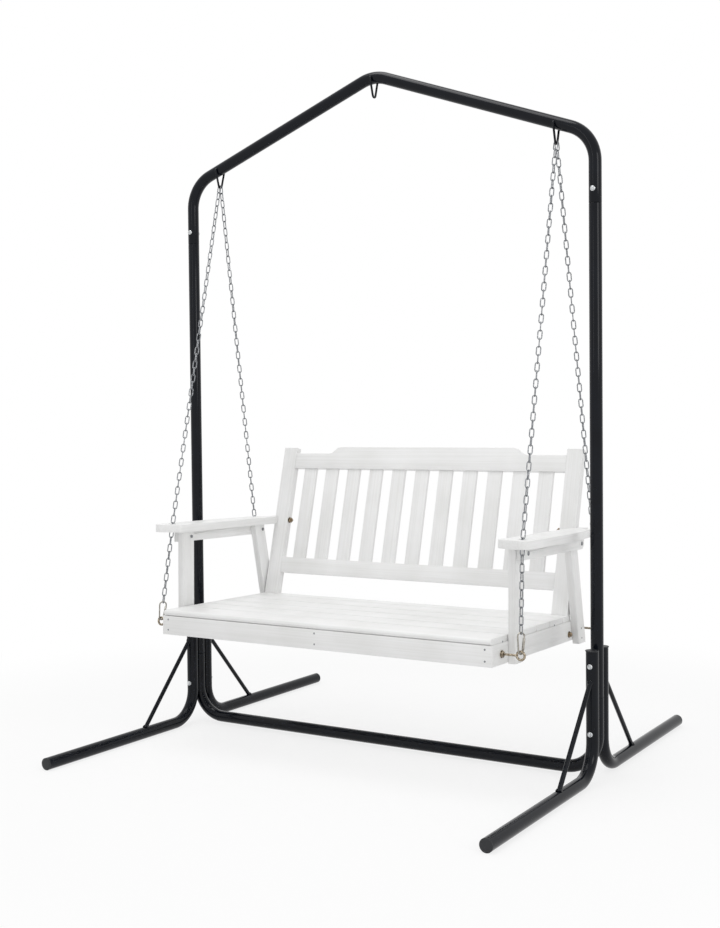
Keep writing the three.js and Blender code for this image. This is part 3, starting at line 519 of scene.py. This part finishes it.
foot = {
    "offset": 38.4,             # from the upright's middle to the foot tube's
    "postTop": 384,
    "reach": 740,
    "bend": 100,
    "braceRadius": 7,
    "braceSides": 24,
    "braceTop": 292,
    "braceFoot": 287,
    "braceSink": 8,             # how far a brace goes into the tubes
    "boltHeights": (143, 341),  # front feet alone
    "capOverhang": 1.2,
    # Rims in pairs: in from the outer face and up from the seat, and for the weld out from the brace and along it
    "capRim": ((0.4, 0.05), (0, 0.45), (0, 2), (1, 3)),
    "plugRim": ((0.1, 0.05), (0, 0.4), (0, 1.4), (1.6, 2.7), (7, 3)),
    "weldRim": ((3.2, -4), (2.24, 1.2), (0.6, 3.2), (-0.4, 4.2)),
}


def makeFoot(side, end, name, node):
    s = stand
    f = foot
    r = s["tubeRadius"]
    x = side * s["spread"]
    mesh = bmesh.new()
    corners = [mm(x, end * f["offset"], f["postTop"]), mm(x, end * f["offset"], r), mm(x, end * f["reach"], r)]
    runTube(mesh, corners, [f["bend"] / 1000], r / 1000, s["tubeSides"], s["baseBendSteps"])
    top = mm(x, end * (f["offset"] + r), f["braceTop"])
    low = mm(x, end * f["braceFoot"], 2 * r)
    down = (low - top).normalized()
    sink = down * f["braceSink"] / 1000
    runTube(mesh, [top - sink, low + sink], [], f["braceRadius"] / 1000, f["braceSides"])
    weld = [(f["braceRadius"] + out, along) for out, along in f["weldRim"]]
    turnProfile(mesh, weld, facing(top, down))
    turnProfile(mesh, weld, facing(low, -down))
    before = set(mesh.faces)
    capCentre = mm(x, end * (f["offset"] + f["capOverhang"]), f["postTop"])
    turnDisc(mesh, r + f["capOverhang"], f["capRim"], Matrix.Translation(capCentre), s["tubeSides"])
    turnDisc(mesh, r, f["plugRim"], facing(mm(x, end * f["reach"], r), Vector((0, end, 0))), s["tubeSides"])
    paint(mesh, before, 1)
    materials = [coatedSteel, capPlastic]
    if end < 0:
        before = set(mesh.faces)
        for z in f["boltHeights"]:
            addFrameBolt(mesh, x, f["offset"] + r + s["seamGap"], z, withThread=True)
        paint(mesh, before, 2)
        materials.append(brightZinc)
    finishPiece(mesh, name, "stand", materials, [node])


# Wire hooks through the top tube
hook = {
    "wire": 3.5,
    "wireSides": 16,
    "drop": 61.5,
    "bend": 9,
    "bendSteps": 10,
    "standOff": 2.5,
    "shoulder": 4.2,
    "endGap": 2,
    "spread": 627,
}


def tubeHeight(across):
    s = stand
    slope = (s["apex"] - s["shoulder"]) / s["spread"]
    if across:
        return s["apex"] - abs(across) * slope
    return s["apex"] - s["apexBend"] * (math.hypot(1, slope) - 1)


def makeHook(across, name, node, body):
    h = hook
    hole = tubeHeight(across)
    legTop = stand["tubeRadius"] + h["wire"] + h["standOff"]
    drop = h["drop"] - h["bend"]
    slope = math.atan2(legTop, drop) - math.asin(h["bend"] / math.hypot(legTop, drop))
    corners = [(-h["endGap"] / 2, hole), (-legTop, hole), (0, hole - legTop / math.tan(slope)),
               (legTop, hole), (h["endGap"] / 2, hole)]
    mesh = bmesh.new()
    bends = [h["shoulder"] / 1000, h["bend"] / 1000, h["shoulder"] / 1000]
    runTube(mesh, [mm(across, y, z) for y, z in corners], bends, h["wire"] / 1000, h["wireSides"], h["bendSteps"])
    finishPiece(mesh, name, body, [coatedSteel], [node])


makeTopTube()
makeUprights()
makeBaseBar()
for side, sideWord in ((-1, "left"), (1, "right")):
    for end, endWord in ((-1, "Front"), (1, "Rear")):
        makeFoot(side, end, sideWord + endWord + "Foot", sideWord + "_" + endWord.lower() + "_foot")
makeHook(-hook["spread"], "leftWireHook", "left_wire_hook", "stand")
makeHook(hook["spread"], "rightWireHook", "right_wire_hook", "stand")
makeHook(0, "centreWireHook", "centre_wire_hook", "centre_hook")
print("stand made")


# Bench: each board keeps its node's outline and gets eased edges, and its bolts are made again

board = {
    "edge": 1.4,
    "seatEdge": 0.8,
    "frontEdge": 0.4,    # apron and front slat, which meet in a fine line
    "armrestEdge": 2.5,
    "edgeSteps": 3,
    "sharpOver": 38,     # degrees
    "seatSlats": 6,
    "backSlats": 11,
    "cutWithin": 0.000001,  # m
    # Outer and inner faces from the middle, beyond which a node's own bolts are cut off
    "railFaces": (589.01, 570.99),
    "postFaces": (582.71, 528.69),
    "bearerFaces": (632.61, 611.59),
}
tiltEdge = mm(*bench["tiltEdge"])
benchPlace = (Matrix.Translation(tiltEdge) @ Matrix.Rotation(-bench["tilt"], 4, "X")
              @ Matrix.Translation(-tiltEdge))
backPlace = benchPlace @ Matrix.Translation(mm(*bench["backFoot"])) @ Matrix.Rotation(-bench["backLean"], 4, "X")


def cutBolts(mesh, side, faces):
    outer, inner = faces
    for across, way in ((side * outer, side), (side * inner, -side)):
        cut = bmesh.ops.bisect_plane(mesh, geom=mesh.verts[:] + mesh.edges[:] + mesh.faces[:],
                                     dist=board["cutWithin"], plane_co=mm(across, 0, 0), plane_no=(way, 0, 0),
                                     clear_outer=True)
        rims = [item for item in cut["geom_cut"] if isinstance(item, bmesh.types.BMEdge) and item.is_boundary]
        bmesh.ops.holes_fill(mesh, edges=rims, sides=0)


def makeBoard(node, material, edge=board["edge"], side=0, faces=None):
    mesh = nodeMesh(node)
    for face in mesh.faces:
        face.material_index = 0
    if faces:
        cutBolts(mesh, side, faces)
    joinFlatFaces(mesh)
    bmesh.ops.recalc_face_normals(mesh, faces=mesh.faces)
    easeEdges(mesh, board["sharpOver"], edge, board["edgeSteps"])
    words = node.split("_")
    name = words[0] + "".join(word.capitalize() for word in words[1:])
    finishPiece(mesh, name, "bench", [material], [node], smoothUnder=32)


def makeBoards():
    makeBoard("apron", woodAlongX, board["frontEdge"])
    makeBoard("under_seat_frame", woodAlongX)
    makeBoard("seat_slat_1", woodAlongX, board["frontEdge"])
    for number in range(2, board["seatSlats"] + 1):
        makeBoard(f"seat_slat_{number}", woodAlongX, board["seatEdge"])
    makeBoard("back_bottom_rail", woodAlongX)
    makeBoard("back_top_rail", woodAlongX)
    for number in range(1, board["backSlats"] + 1):
        makeBoard(f"back_slat_{number}", woodLeaning)
    for side, word in ((-1, "left"), (1, "right")):
        makeBoard(word + "_side_rail", woodAlongY, side=side, faces=board["railFaces"])
        makeBoard(word + "_back_post", woodLeaning, side=side, faces=board["postFaces"])
        makeBoard(word + "_arm_post", woodUpright)
        makeBoard(word + "_arm_leg", woodRaked)
        makeBoard(word + "_arm_bearer", woodAlongY, side=side, faces=board["bearerFaces"])
        makeBoard(word + "_armrest", woodAlongY, board["armrestEdge"])


makeBoards()
print("boards made")


# Chains: oval welded links, each turned a quarter from the last, with a slow twist down the chain

chain = {
    "wire": 1.75,
    "wireSides": 6,
    "innerWidth": 8.4,
    "innerLength": 24.2,
    "bendSteps": 5,
    "count": 60,
    "twist": math.radians(60),
    "front": {"hang": (627, -2.9, 1878.15), "guide": (634.5, -270.94, 712.7), "foot": (645.65, -308.14, 467.25)},
    "rear": {"hang": (627, 2.9, 1878.15), "guide": (653.3, 210.91, 704.4), "foot": (648.91, 256.02, 456.88)},
}


def makeLink():
    c = chain
    mesh = bmesh.new()
    legs = c["innerWidth"] / 2 + c["wire"]
    reach = c["innerLength"] / 2 - c["innerWidth"] / 2
    ring = openRing(mesh, mm(legs, 0, -reach), Vector((0, 0, 1)), c["wire"] / 1000, c["wireSides"])
    for end in (1, -1):
        ring = extrudeRing(mesh, ring, mm(0, 0, end * 2 * reach))
        ring = spinRing(mesh, ring, mm(0, 0, end * reach), (0, -1, 0), math.pi, c["bendSteps"])
    bmesh.ops.remove_doubles(mesh, verts=mesh.verts, dist=mergeWithin)
    bmesh.ops.recalc_face_normals(mesh, faces=mesh.faces)
    data = bpy.data.meshes.new("oneLink")
    mesh.to_mesh(data)
    mesh.free()
    return data


def hangingFrame(up, turn):
    across = Vector((math.cos(turn), math.sin(turn), 0))
    normal = up.cross(across).normalized()
    width = normal.cross(up)
    return Matrix((width, normal, up)).transposed().to_4x4()


def makeChain(side, end, link):
    c = chain
    hang, guide, low = [mm(side * p[0], p[1], p[2]) for p in (c[end]["hang"], c[end]["guide"], c[end]["foot"])]
    upper = (hang - guide).length
    total = upper + (guide - low).length

    def along(distance):
        if distance < upper:
            return hang.lerp(guide, distance / upper)
        return guide.lerp(low, (distance - upper) / (total - upper))

    mesh = bmesh.new()
    for i in range(c["count"]):
        top = along(total * i / c["count"])
        bottom = along(total * (i + 1) / c["count"])
        up = (top - bottom).normalized()
        turn = i * math.pi / 2 + c["twist"] * i / (c["count"] - 1)
        place = Matrix.Translation((top + bottom) / 2) @ hangingFrame(up, turn)
        start = len(mesh.verts)
        mesh.from_mesh(link)
        mesh.verts.ensure_lookup_table()
        bmesh.ops.transform(mesh, matrix=place, verts=mesh.verts[start:])
    word = "left" if side < 0 else "right"
    finishPiece(mesh, word + end.capitalize() + "Chain", "bench", [galvanised],
                [f"{word}_{end}_chain"], smoothUnder=80)


linkMesh = makeLink()
for side in (-1, 1):
    makeChain(side, "front", linkMesh)
    makeChain(side, "rear", linkMesh)
bpy.data.meshes.remove(linkMesh)
print("chains made")


# Snap hooks: a pear of round wire with a sprung gate

snapHook = {
    "wire": 2.25,
    "wireSides": 16,
    "topRadius": 11.25,
    "footRadius": 7.2,
    "span": 41,            # between the centres of the two bends
    "stub": 8,
    "nose": 6,
    "footSteps": 12,
    "topSteps": 16,
    "rivetSetBack": 2.5,
    "rivetHalf": 3.5,
    "rivetRim": ((1.3, 0.1), (1.5, 0.5), (1, 0.6)),  # out from the axis and in from the rivet's end
    "gatePress": 0.82,     # share of the solid gate's width that the folded strip takes
    "gateEase": 0.18,
    "gateEaseSteps": 2,
    "gateSharpOver": 70,   # degrees
    "turn": math.radians(60),
    "front": {"foot": (648.07, -316.23, 413.86), "top": (645.65, -308.14, 467.25)},
    "rear": {"foot": (647.97, 265.71, 403.72), "top": (648.91, 256.02, 456.88)},
}


# The frame of a snap hook: the centre of its lower bend at the origin and Z up the chain
def clipPlace(side, end):
    h = snapHook
    low, high = [mm(side * p[0], p[1], p[2]) for p in (h[end]["foot"], h[end]["top"])]
    up = (high - low).normalized()
    return Matrix.Translation(low + up * (h["footRadius"] - h["wire"]) / 1000) @ hangingFrame(up, h["turn"])


# The leg that carries the gate: its slope, the ways out from it and up it, and the rivet's place
def clipLeg():
    h = snapHook
    slope = math.asin((h["topRadius"] - h["footRadius"]) / h["span"])
    out = Vector((math.cos(slope), 0, -math.sin(slope)))
    legUp = Vector((math.sin(slope), 0, math.cos(slope)))
    rivet = (out * h["footRadius"] + legUp * (h["stub"] - h["rivetSetBack"])) / 1000
    return slope, out, legUp, rivet


def makeSnapHook(side, end):
    h = snapHook
    word = "left" if side < 0 else "right"
    slope, out, legUp, rivet = clipLeg()
    mesh = bmesh.new()
    stubTop = (out * h["footRadius"] + legUp * h["stub"]) / 1000
    ring = openRing(mesh, stubTop, -legUp, h["wire"] / 1000, h["wireSides"])
    closeRing(mesh, ring)
    ring = extrudeRing(mesh, ring, -legUp * h["stub"] / 1000)
    ring = spinRing(mesh, ring, (0, 0, 0), (0, 1, 0), math.pi - 2 * slope, h["footSteps"])
    backOut = Vector((-out.x, 0, out.z))
    ring = extrudeRing(mesh, ring, mm(0, 0, h["span"]) + backOut * (h["topRadius"] - h["footRadius"]) / 1000)
    ring = spinRing(mesh, ring, mm(0, 0, h["span"]), (0, 1, 0), math.pi + 2 * slope, h["topSteps"])
    ring = extrudeRing(mesh, ring, -legUp * h["nose"] / 1000)
    closeRing(mesh, ring)
    half = h["rivetHalf"]
    lower = [(onAxis, -half)] + [(radius, inset - half) for radius, inset in h["rivetRim"]]
    turnProfile(mesh, lower + [(radius, -height) for radius, height in reversed(lower)],
                facing(rivet, Vector((0, 1, 0))), steps=14)
    bmesh.ops.transform(mesh, matrix=clipPlace(side, end), verts=mesh.verts)
    finishPiece(mesh, f"{word}{end.capitalize()}SnapHook", "bench", [dullYellowZinc],
                [f"{word}_{end}_snap_hook"], smoothUnder=50)


# A gate is a folded strip pressed close to the wire, and its edges are only just eased
def makeGate(side, end):
    h = snapHook
    word = "left" if side < 0 else "right"
    node = f"{word}_{end}_gate"
    slope, _, _, rivet = clipLeg()
    legPlace = clipPlace(side, end) @ Matrix.Translation(rivet) @ Matrix.Rotation(slope, 4, "Y")
    pressed = Matrix.Diagonal((h["gatePress"], h["gatePress"], 1, 1))
    mesh = nodeMesh(node)
    joinFlatFaces(mesh)
    bmesh.ops.transform(mesh, matrix=legPlace @ pressed @ legPlace.inverted(), verts=mesh.verts)
    easeEdges(mesh, h["gateSharpOver"], h["gateEase"], h["gateEaseSteps"])
    finishPiece(mesh, f"{word}{end.capitalize()}Gate", node, [dullYellowZinc], [node])


# Eye bolts through the side rails, with a washer and a nut outside and a nut inside
eyeBolt = {
    "ring": 11.9,
    "ringSteps": 32,
    "wire": 3.5,
    "wireSides": 16,
    "shank": 3.4,
    "shankSides": 20,
    "reach": 648,
    "height": 408,
    "front": -316.5,
    "rear": 265,
    "outerSeat": 589.3,
    "washerRadius": 11,
    "washerHeight": 2,
    "washerEase": 0.4,
    "outerNut": (17, 5),  # across flats and high
    "innerNut": (14, 6),
    "innerSeat": 570.7,
    "innerEnd": 562.7,
}


def makeEyeBolt(side, end):
    e = eyeBolt
    word = "left" if side < 0 else "right"
    mesh = bmesh.new()
    along = e[end]
    centre = mm(e["reach"], along, e["height"])
    ring = openRing(mesh, centre + mm(0, 0, e["ring"]), Vector((1, 0, 0)), e["wire"] / 1000, e["wireSides"])
    spinRing(mesh, ring, centre, (0, 1, 0), math.tau, e["ringSteps"])
    runTube(mesh, [mm(e["innerEnd"], along, e["height"]), mm(e["reach"] - e["ring"], along, e["height"])], [],
            e["shank"] / 1000, e["shankSides"])
    outward = Vector((1, 0, 0))
    seat = mm(e["outerSeat"], along, e["height"])
    washer(mesh, e["washerRadius"], e["washerHeight"], e["washerEase"], facing(seat, outward), e["ringSteps"])
    hexNut(mesh, *e["outerNut"], facing(seat + mm(e["washerHeight"], 0, 0), outward))
    hexNut(mesh, *e["innerNut"], facing(mm(e["innerSeat"], along, e["height"]), -outward))
    if side < 0:
        bmesh.ops.scale(mesh, vec=(-1, 1, 1), verts=mesh.verts)
    bmesh.ops.transform(mesh, matrix=benchPlace, verts=mesh.verts)
    finishPiece(mesh, f"{word}{end.capitalize()}EyeBolt", "bench", [yellowZinc],
                [f"{word}_{end}_eye_bolt"], smoothUnder=35)


for side in (-1, 1):
    for end in ("front", "rear"):
        makeSnapHook(side, end)
        makeGate(side, end)
        makeEyeBolt(side, end)
print("hooks and eyes made")


# Bolts of the bench: two on each side hold the back, and two hold the arm's bearer

benchBolts = {
    "back": {"headRadius": 8, "headHeight": 9.5, "nutFlats": 16, "nutHeight": 8, "thread": 4, "threadOut": 5,
             "washerRadius": 10, "washerHeight": 1.5},
    "arm": {"headRadius": 6.4, "headHeight": 2.6, "nutFlats": 10, "nutHeight": 3, "thread": 3, "threadOut": 2,
            "washerRadius": 0, "washerHeight": 0},
    "seatGap": 0.2,
    "washerEase": 0.3,
    # Faces that the heads and nuts sit on, from the middle
    "backInner": 528.7,
    "railOuter": 589,
    "tongueOuter": 613,
    "bearerOuter": 632.6,
    "armPostInner": 589.3,
    "lowHeight": 398.5,
    "upperHeight": 714.5,
    "backHalf": 12.5,          # half the thickness of a back post
    "bearerTop": 702,
    "bearerHalf": 17.5,        # half its height
    "armPostFront": -273.5,
    "legTop": (120.8, 702),    # front edge of the arm's leg: along and up
    "legFoot": (198.3, 366),
    "boardWidth": 54,
    "boltShare": 0.75,         # how far across that width an arm bolt sits
}


def addBenchBolt(mesh, side, kind, outer, inner, y, z, place):
    gap = benchBolts["seatGap"]
    ease = benchBolts["washerEase"]
    b = benchBolts[kind]
    head = place @ mm(side * (outer + gap), y, z)
    seat = place @ mm(side * (inner - gap), y, z)
    outward = Vector((side, 0, 0))
    thick = b["washerHeight"]
    if thick:
        washer(mesh, b["washerRadius"], thick, ease, facing(head, outward))
        washer(mesh, b["washerRadius"], thick, ease, facing(seat, -outward))
    lift = outward * thick / 1000
    domedHead(mesh, facing(head + lift, outward), b["headRadius"], b["headHeight"])
    hexNut(mesh, b["nutFlats"], b["nutHeight"], facing(seat - lift, -outward))
    thread(mesh, b["thread"], thick + b["nutHeight"] + b["threadOut"], facing(seat, -outward))


def makeBenchBolts():
    b = benchBolts
    leanTan = math.tan(bench["backLean"])
    leanCos = math.cos(bench["backLean"])
    _, backY, backZ = bench["backFoot"]
    lowY = backY + b["backHalf"] / leanCos - (backZ - b["lowHeight"]) * leanTan
    upperRise = (b["upperHeight"] - backZ) / leanCos + b["backHalf"] * leanTan
    armZ = b["bearerTop"] - b["bearerHalf"]
    legSlope = (b["legFoot"][0] - b["legTop"][0]) / (b["legTop"][1] - b["legFoot"][1])
    fromEdge = b["boardWidth"] * b["boltShare"]
    frontY = b["armPostFront"] + fromEdge
    rearY = b["legTop"][0] + legSlope * b["bearerHalf"] + fromEdge
    for side, word in ((-1, "left"), (1, "right")):
        mesh = bmesh.new()
        addBenchBolt(mesh, side, "back", b["railOuter"], b["backInner"], lowY, b["lowHeight"], benchPlace)
        addBenchBolt(mesh, side, "back", b["tongueOuter"], b["backInner"], b["backHalf"], upperRise, backPlace)
        before = set(mesh.faces)
        for y in (frontY, rearY):
            addBenchBolt(mesh, side, "arm", b["bearerOuter"], b["armPostInner"], y, armZ, benchPlace)
        paint(mesh, before, 1)
        finishPiece(mesh, word + "BenchBolts", "bench", [brownedZinc, galvanised])


# Wood screws: a low rounded head with a socket for the driver
screw = {
    "radius": 3,
    "sides": 16,
    "height": 0.7,
    "rim": 0.9,           # how far the head rounds in
    "socketInset": 1,
    "socketShare": 0.7,   # depth of the socket, as a share of the height
    "apronFace": -377,
    "apronAcross": (-567, 0, 567),
    "apronHeights": (393.7, 426.5),
    "slatEnd": 585,
    "slatAlong": (-300, -189, 63),
    "slatHeight": 440,
    "legFace": 611.3,
    "legPlaces": ((-258, 424), (-236, 398), (215, 414), (220, 383)),  # along and up
}


def addScrew(mesh, x, y, z, outward):
    s = screw
    place = facing(benchPlace @ mm(x, y, z), outward)
    made = bmesh.ops.create_circle(mesh, cap_ends=True, segments=s["sides"], radius=s["radius"] / 1000, matrix=place)
    face = made["verts"][0].link_faces[0]
    lift = outward * s["height"] / 1000
    top = bmesh.ops.extrude_discrete_faces(mesh, faces=[face])["faces"][0]
    bmesh.ops.inset_region(mesh, faces=[top], thickness=s["rim"] / 1000, depth=0)
    bmesh.ops.translate(mesh, verts=list(top.verts), vec=lift)
    bmesh.ops.inset_region(mesh, faces=[top], thickness=s["socketInset"] / 1000, depth=0)
    bmesh.ops.translate(mesh, verts=list(top.verts), vec=-lift * s["socketShare"])


def makeScrews():
    s = screw
    mesh = bmesh.new()
    for x in s["apronAcross"]:
        for z in s["apronHeights"]:
            addScrew(mesh, x, s["apronFace"], z, Vector((0, -1, 0)))
    for side in (-1, 1):
        for y in s["slatAlong"]:
            addScrew(mesh, side * s["slatEnd"], y, s["slatHeight"], Vector((side, 0, 0)))
    finishPiece(mesh, "seatScrews", "bench", [galvanised], smoothUnder=50)
    mesh = bmesh.new()
    for side in (-1, 1):
        for y, z in s["legPlaces"]:
            addScrew(mesh, side * s["legFace"], y, z, Vector((side, 0, 0)))
    finishPiece(mesh, "legScrews", "bench", [galvanised], smoothUnder=50)


makeBenchBolts()
makeScrews()
print("bolts and screws made")


# Floor, light and camera, with places and sizes in metres

studio = {
    "floor": "#F4F4F4",
    "floorHalf": 60,
    "floorGlow": 0.78,          # share of plain white that the camera sees in the floor by the object
    "shadowReach": (1.3, 2.4),  # from the middle, where the floor's shade fades into the white
    "skyForObject": 0.69,       # strength of the sky's light on matt surfaces
}

softboxes = {
    "overheadSoftbox": {"place": (-0.4, -0.7, 4.8), "target": (0, 0, 0.4), "size": (2.2, 2.2), "watts": 61},
    "sideSoftbox": {"place": (4.6, -1.5, 2.6), "target": (0, 0, 1.0), "size": (1.8, 1.8), "watts": 33},
    "frontSoftbox": {"place": (-0.75, -4.4, 2.6), "target": (0, 0, 1.3), "size": (0.3, 1.6), "watts": 5},
}


# One where a ray comes from the camera, a shiny surface or clear stuff
def whereSeen(tree):
    ray = addNode(tree, "ShaderNodeLightPath")
    seen = addNode(tree, "ShaderNodeMath", {0: ray.outputs["Is Camera Ray"], 1: ray.outputs["Is Glossy Ray"]},
                   operation="MAXIMUM")
    seenToo = addNode(tree, "ShaderNodeMath", {0: seen.outputs[0], 1: ray.outputs["Is Transmission Ray"]},
                      operation="MAXIMUM")
    return seenToo.outputs[0]


def makeFloor():
    mesh = bmesh.new()
    bmesh.ops.create_grid(mesh, x_segments=1, y_segments=1, size=studio["floorHalf"])
    data = bpy.data.meshes.new("studioFloor")
    mesh.to_mesh(data)
    mesh.free()
    floor = bpy.data.objects.new("studioFloor", data)
    scene.collection.objects.link(floor)
    material, tree = newMaterial("matteWhiteFloor")
    near, far = studio["shadowReach"]
    coords = addNode(tree, "ShaderNodeTexCoord")
    reach = addNode(tree, "ShaderNodeVectorMath", {0: coords.outputs["Object"]}, operation="LENGTH")
    away = addNode(tree, "ShaderNodeMapRange", {
        "Value": reach.outputs["Value"], "From Min": near, "From Max": far,
        "To Min": studio["floorGlow"], "To Max": 1.0},
        interpolation_type="SMOOTHSTEP")
    seen = whereSeen(tree)
    whiteShare = addNode(tree, "ShaderNodeMath", {0: away.outputs[0], 1: seen}, operation="MULTIPLY")
    matte = addNode(tree, "ShaderNodeBsdfDiffuse", {"Color": linear(studio["floor"])})
    white = addNode(tree, "ShaderNodeEmission", {"Color": (1, 1, 1, 1), "Strength": 1.0})
    both = addNode(tree, "ShaderNodeMixShader", {
        0: whiteShare.outputs[0], 1: matte.outputs[0], 2: white.outputs[0]})
    finishMaterial(tree, both)
    data.materials.append(material)


def makeSky():
    world = bpy.data.worlds.new("paleStudio")
    scene.world = world
    world.use_nodes = True
    tree = world.node_tree
    tree.nodes.clear()
    plain = addNode(tree, "ShaderNodeBackground", {"Color": (1, 1, 1, 1), "Strength": studio["skyForObject"]})
    white = addNode(tree, "ShaderNodeBackground", {"Color": (1, 1, 1, 1), "Strength": 1.0})
    both = addNode(tree, "ShaderNodeMixShader", {0: whereSeen(tree), 1: plain.outputs[0], 2: white.outputs[0]})
    addNode(tree, "ShaderNodeOutputWorld", {"Surface": both.outputs[0]})


def makeSoftbox(name, box):
    light = bpy.data.lights.new(name, "AREA")
    light.shape = "RECTANGLE"
    light.size, light.size_y = box["size"]
    light.energy = box["watts"]
    lamp = bpy.data.objects.new(name, light)
    lamp.location = box["place"]
    lamp.rotation_euler = (Vector(box["target"]) - Vector(box["place"])).to_track_quat("-Z", "Y").to_euler()
    scene.collection.objects.link(lamp)


photoCamera = {
    "place": (2.115, -3.497, 1.062),
    "yaw": math.radians(31.38),
    "pitch": math.radians(1.76),
    "roll": math.radians(-0.55),
    "picture": (720, 928),    # pixels
    "focal": 1264.8,          # pixels
    "middle": (372.8, 459.2),  # pixel that the lens looks straight at
    "sensor": 36,             # mm, over the picture's height
    "sight": 200,
}


def makeCamera():
    c = photoCamera
    ahead = Vector((-math.sin(c["yaw"]) * math.cos(c["pitch"]), math.cos(c["yaw"]) * math.cos(c["pitch"]),
                    -math.sin(c["pitch"])))
    right = Vector((math.cos(c["yaw"]), math.sin(c["yaw"]), 0))
    up = right.cross(ahead)
    rightRolled = right * math.cos(c["roll"]) + up * math.sin(c["roll"])
    upRolled = up * math.cos(c["roll"]) - right * math.sin(c["roll"])
    width, height = c["picture"]
    data = bpy.data.cameras.new("photoCamera")
    data.sensor_fit = "VERTICAL"
    data.sensor_height = c["sensor"]
    data.lens = c["sensor"] * c["focal"] / height
    data.shift_x = -(c["middle"][0] - width / 2) / height
    data.shift_y = (c["middle"][1] - height / 2) / height
    data.clip_end = c["sight"]
    camera = bpy.data.objects.new("photoCamera", data)
    turn = Matrix((rightRolled, upRolled, -ahead)).transposed().to_4x4()
    camera.matrix_world = Matrix.Translation(c["place"]) @ turn
    scene.collection.objects.link(camera)
    scene.camera = camera


makeFloor()
makeSky()
for name, box in softboxes.items():
    makeSoftbox(name, box)
makeCamera()
print("floor, light and camera made")
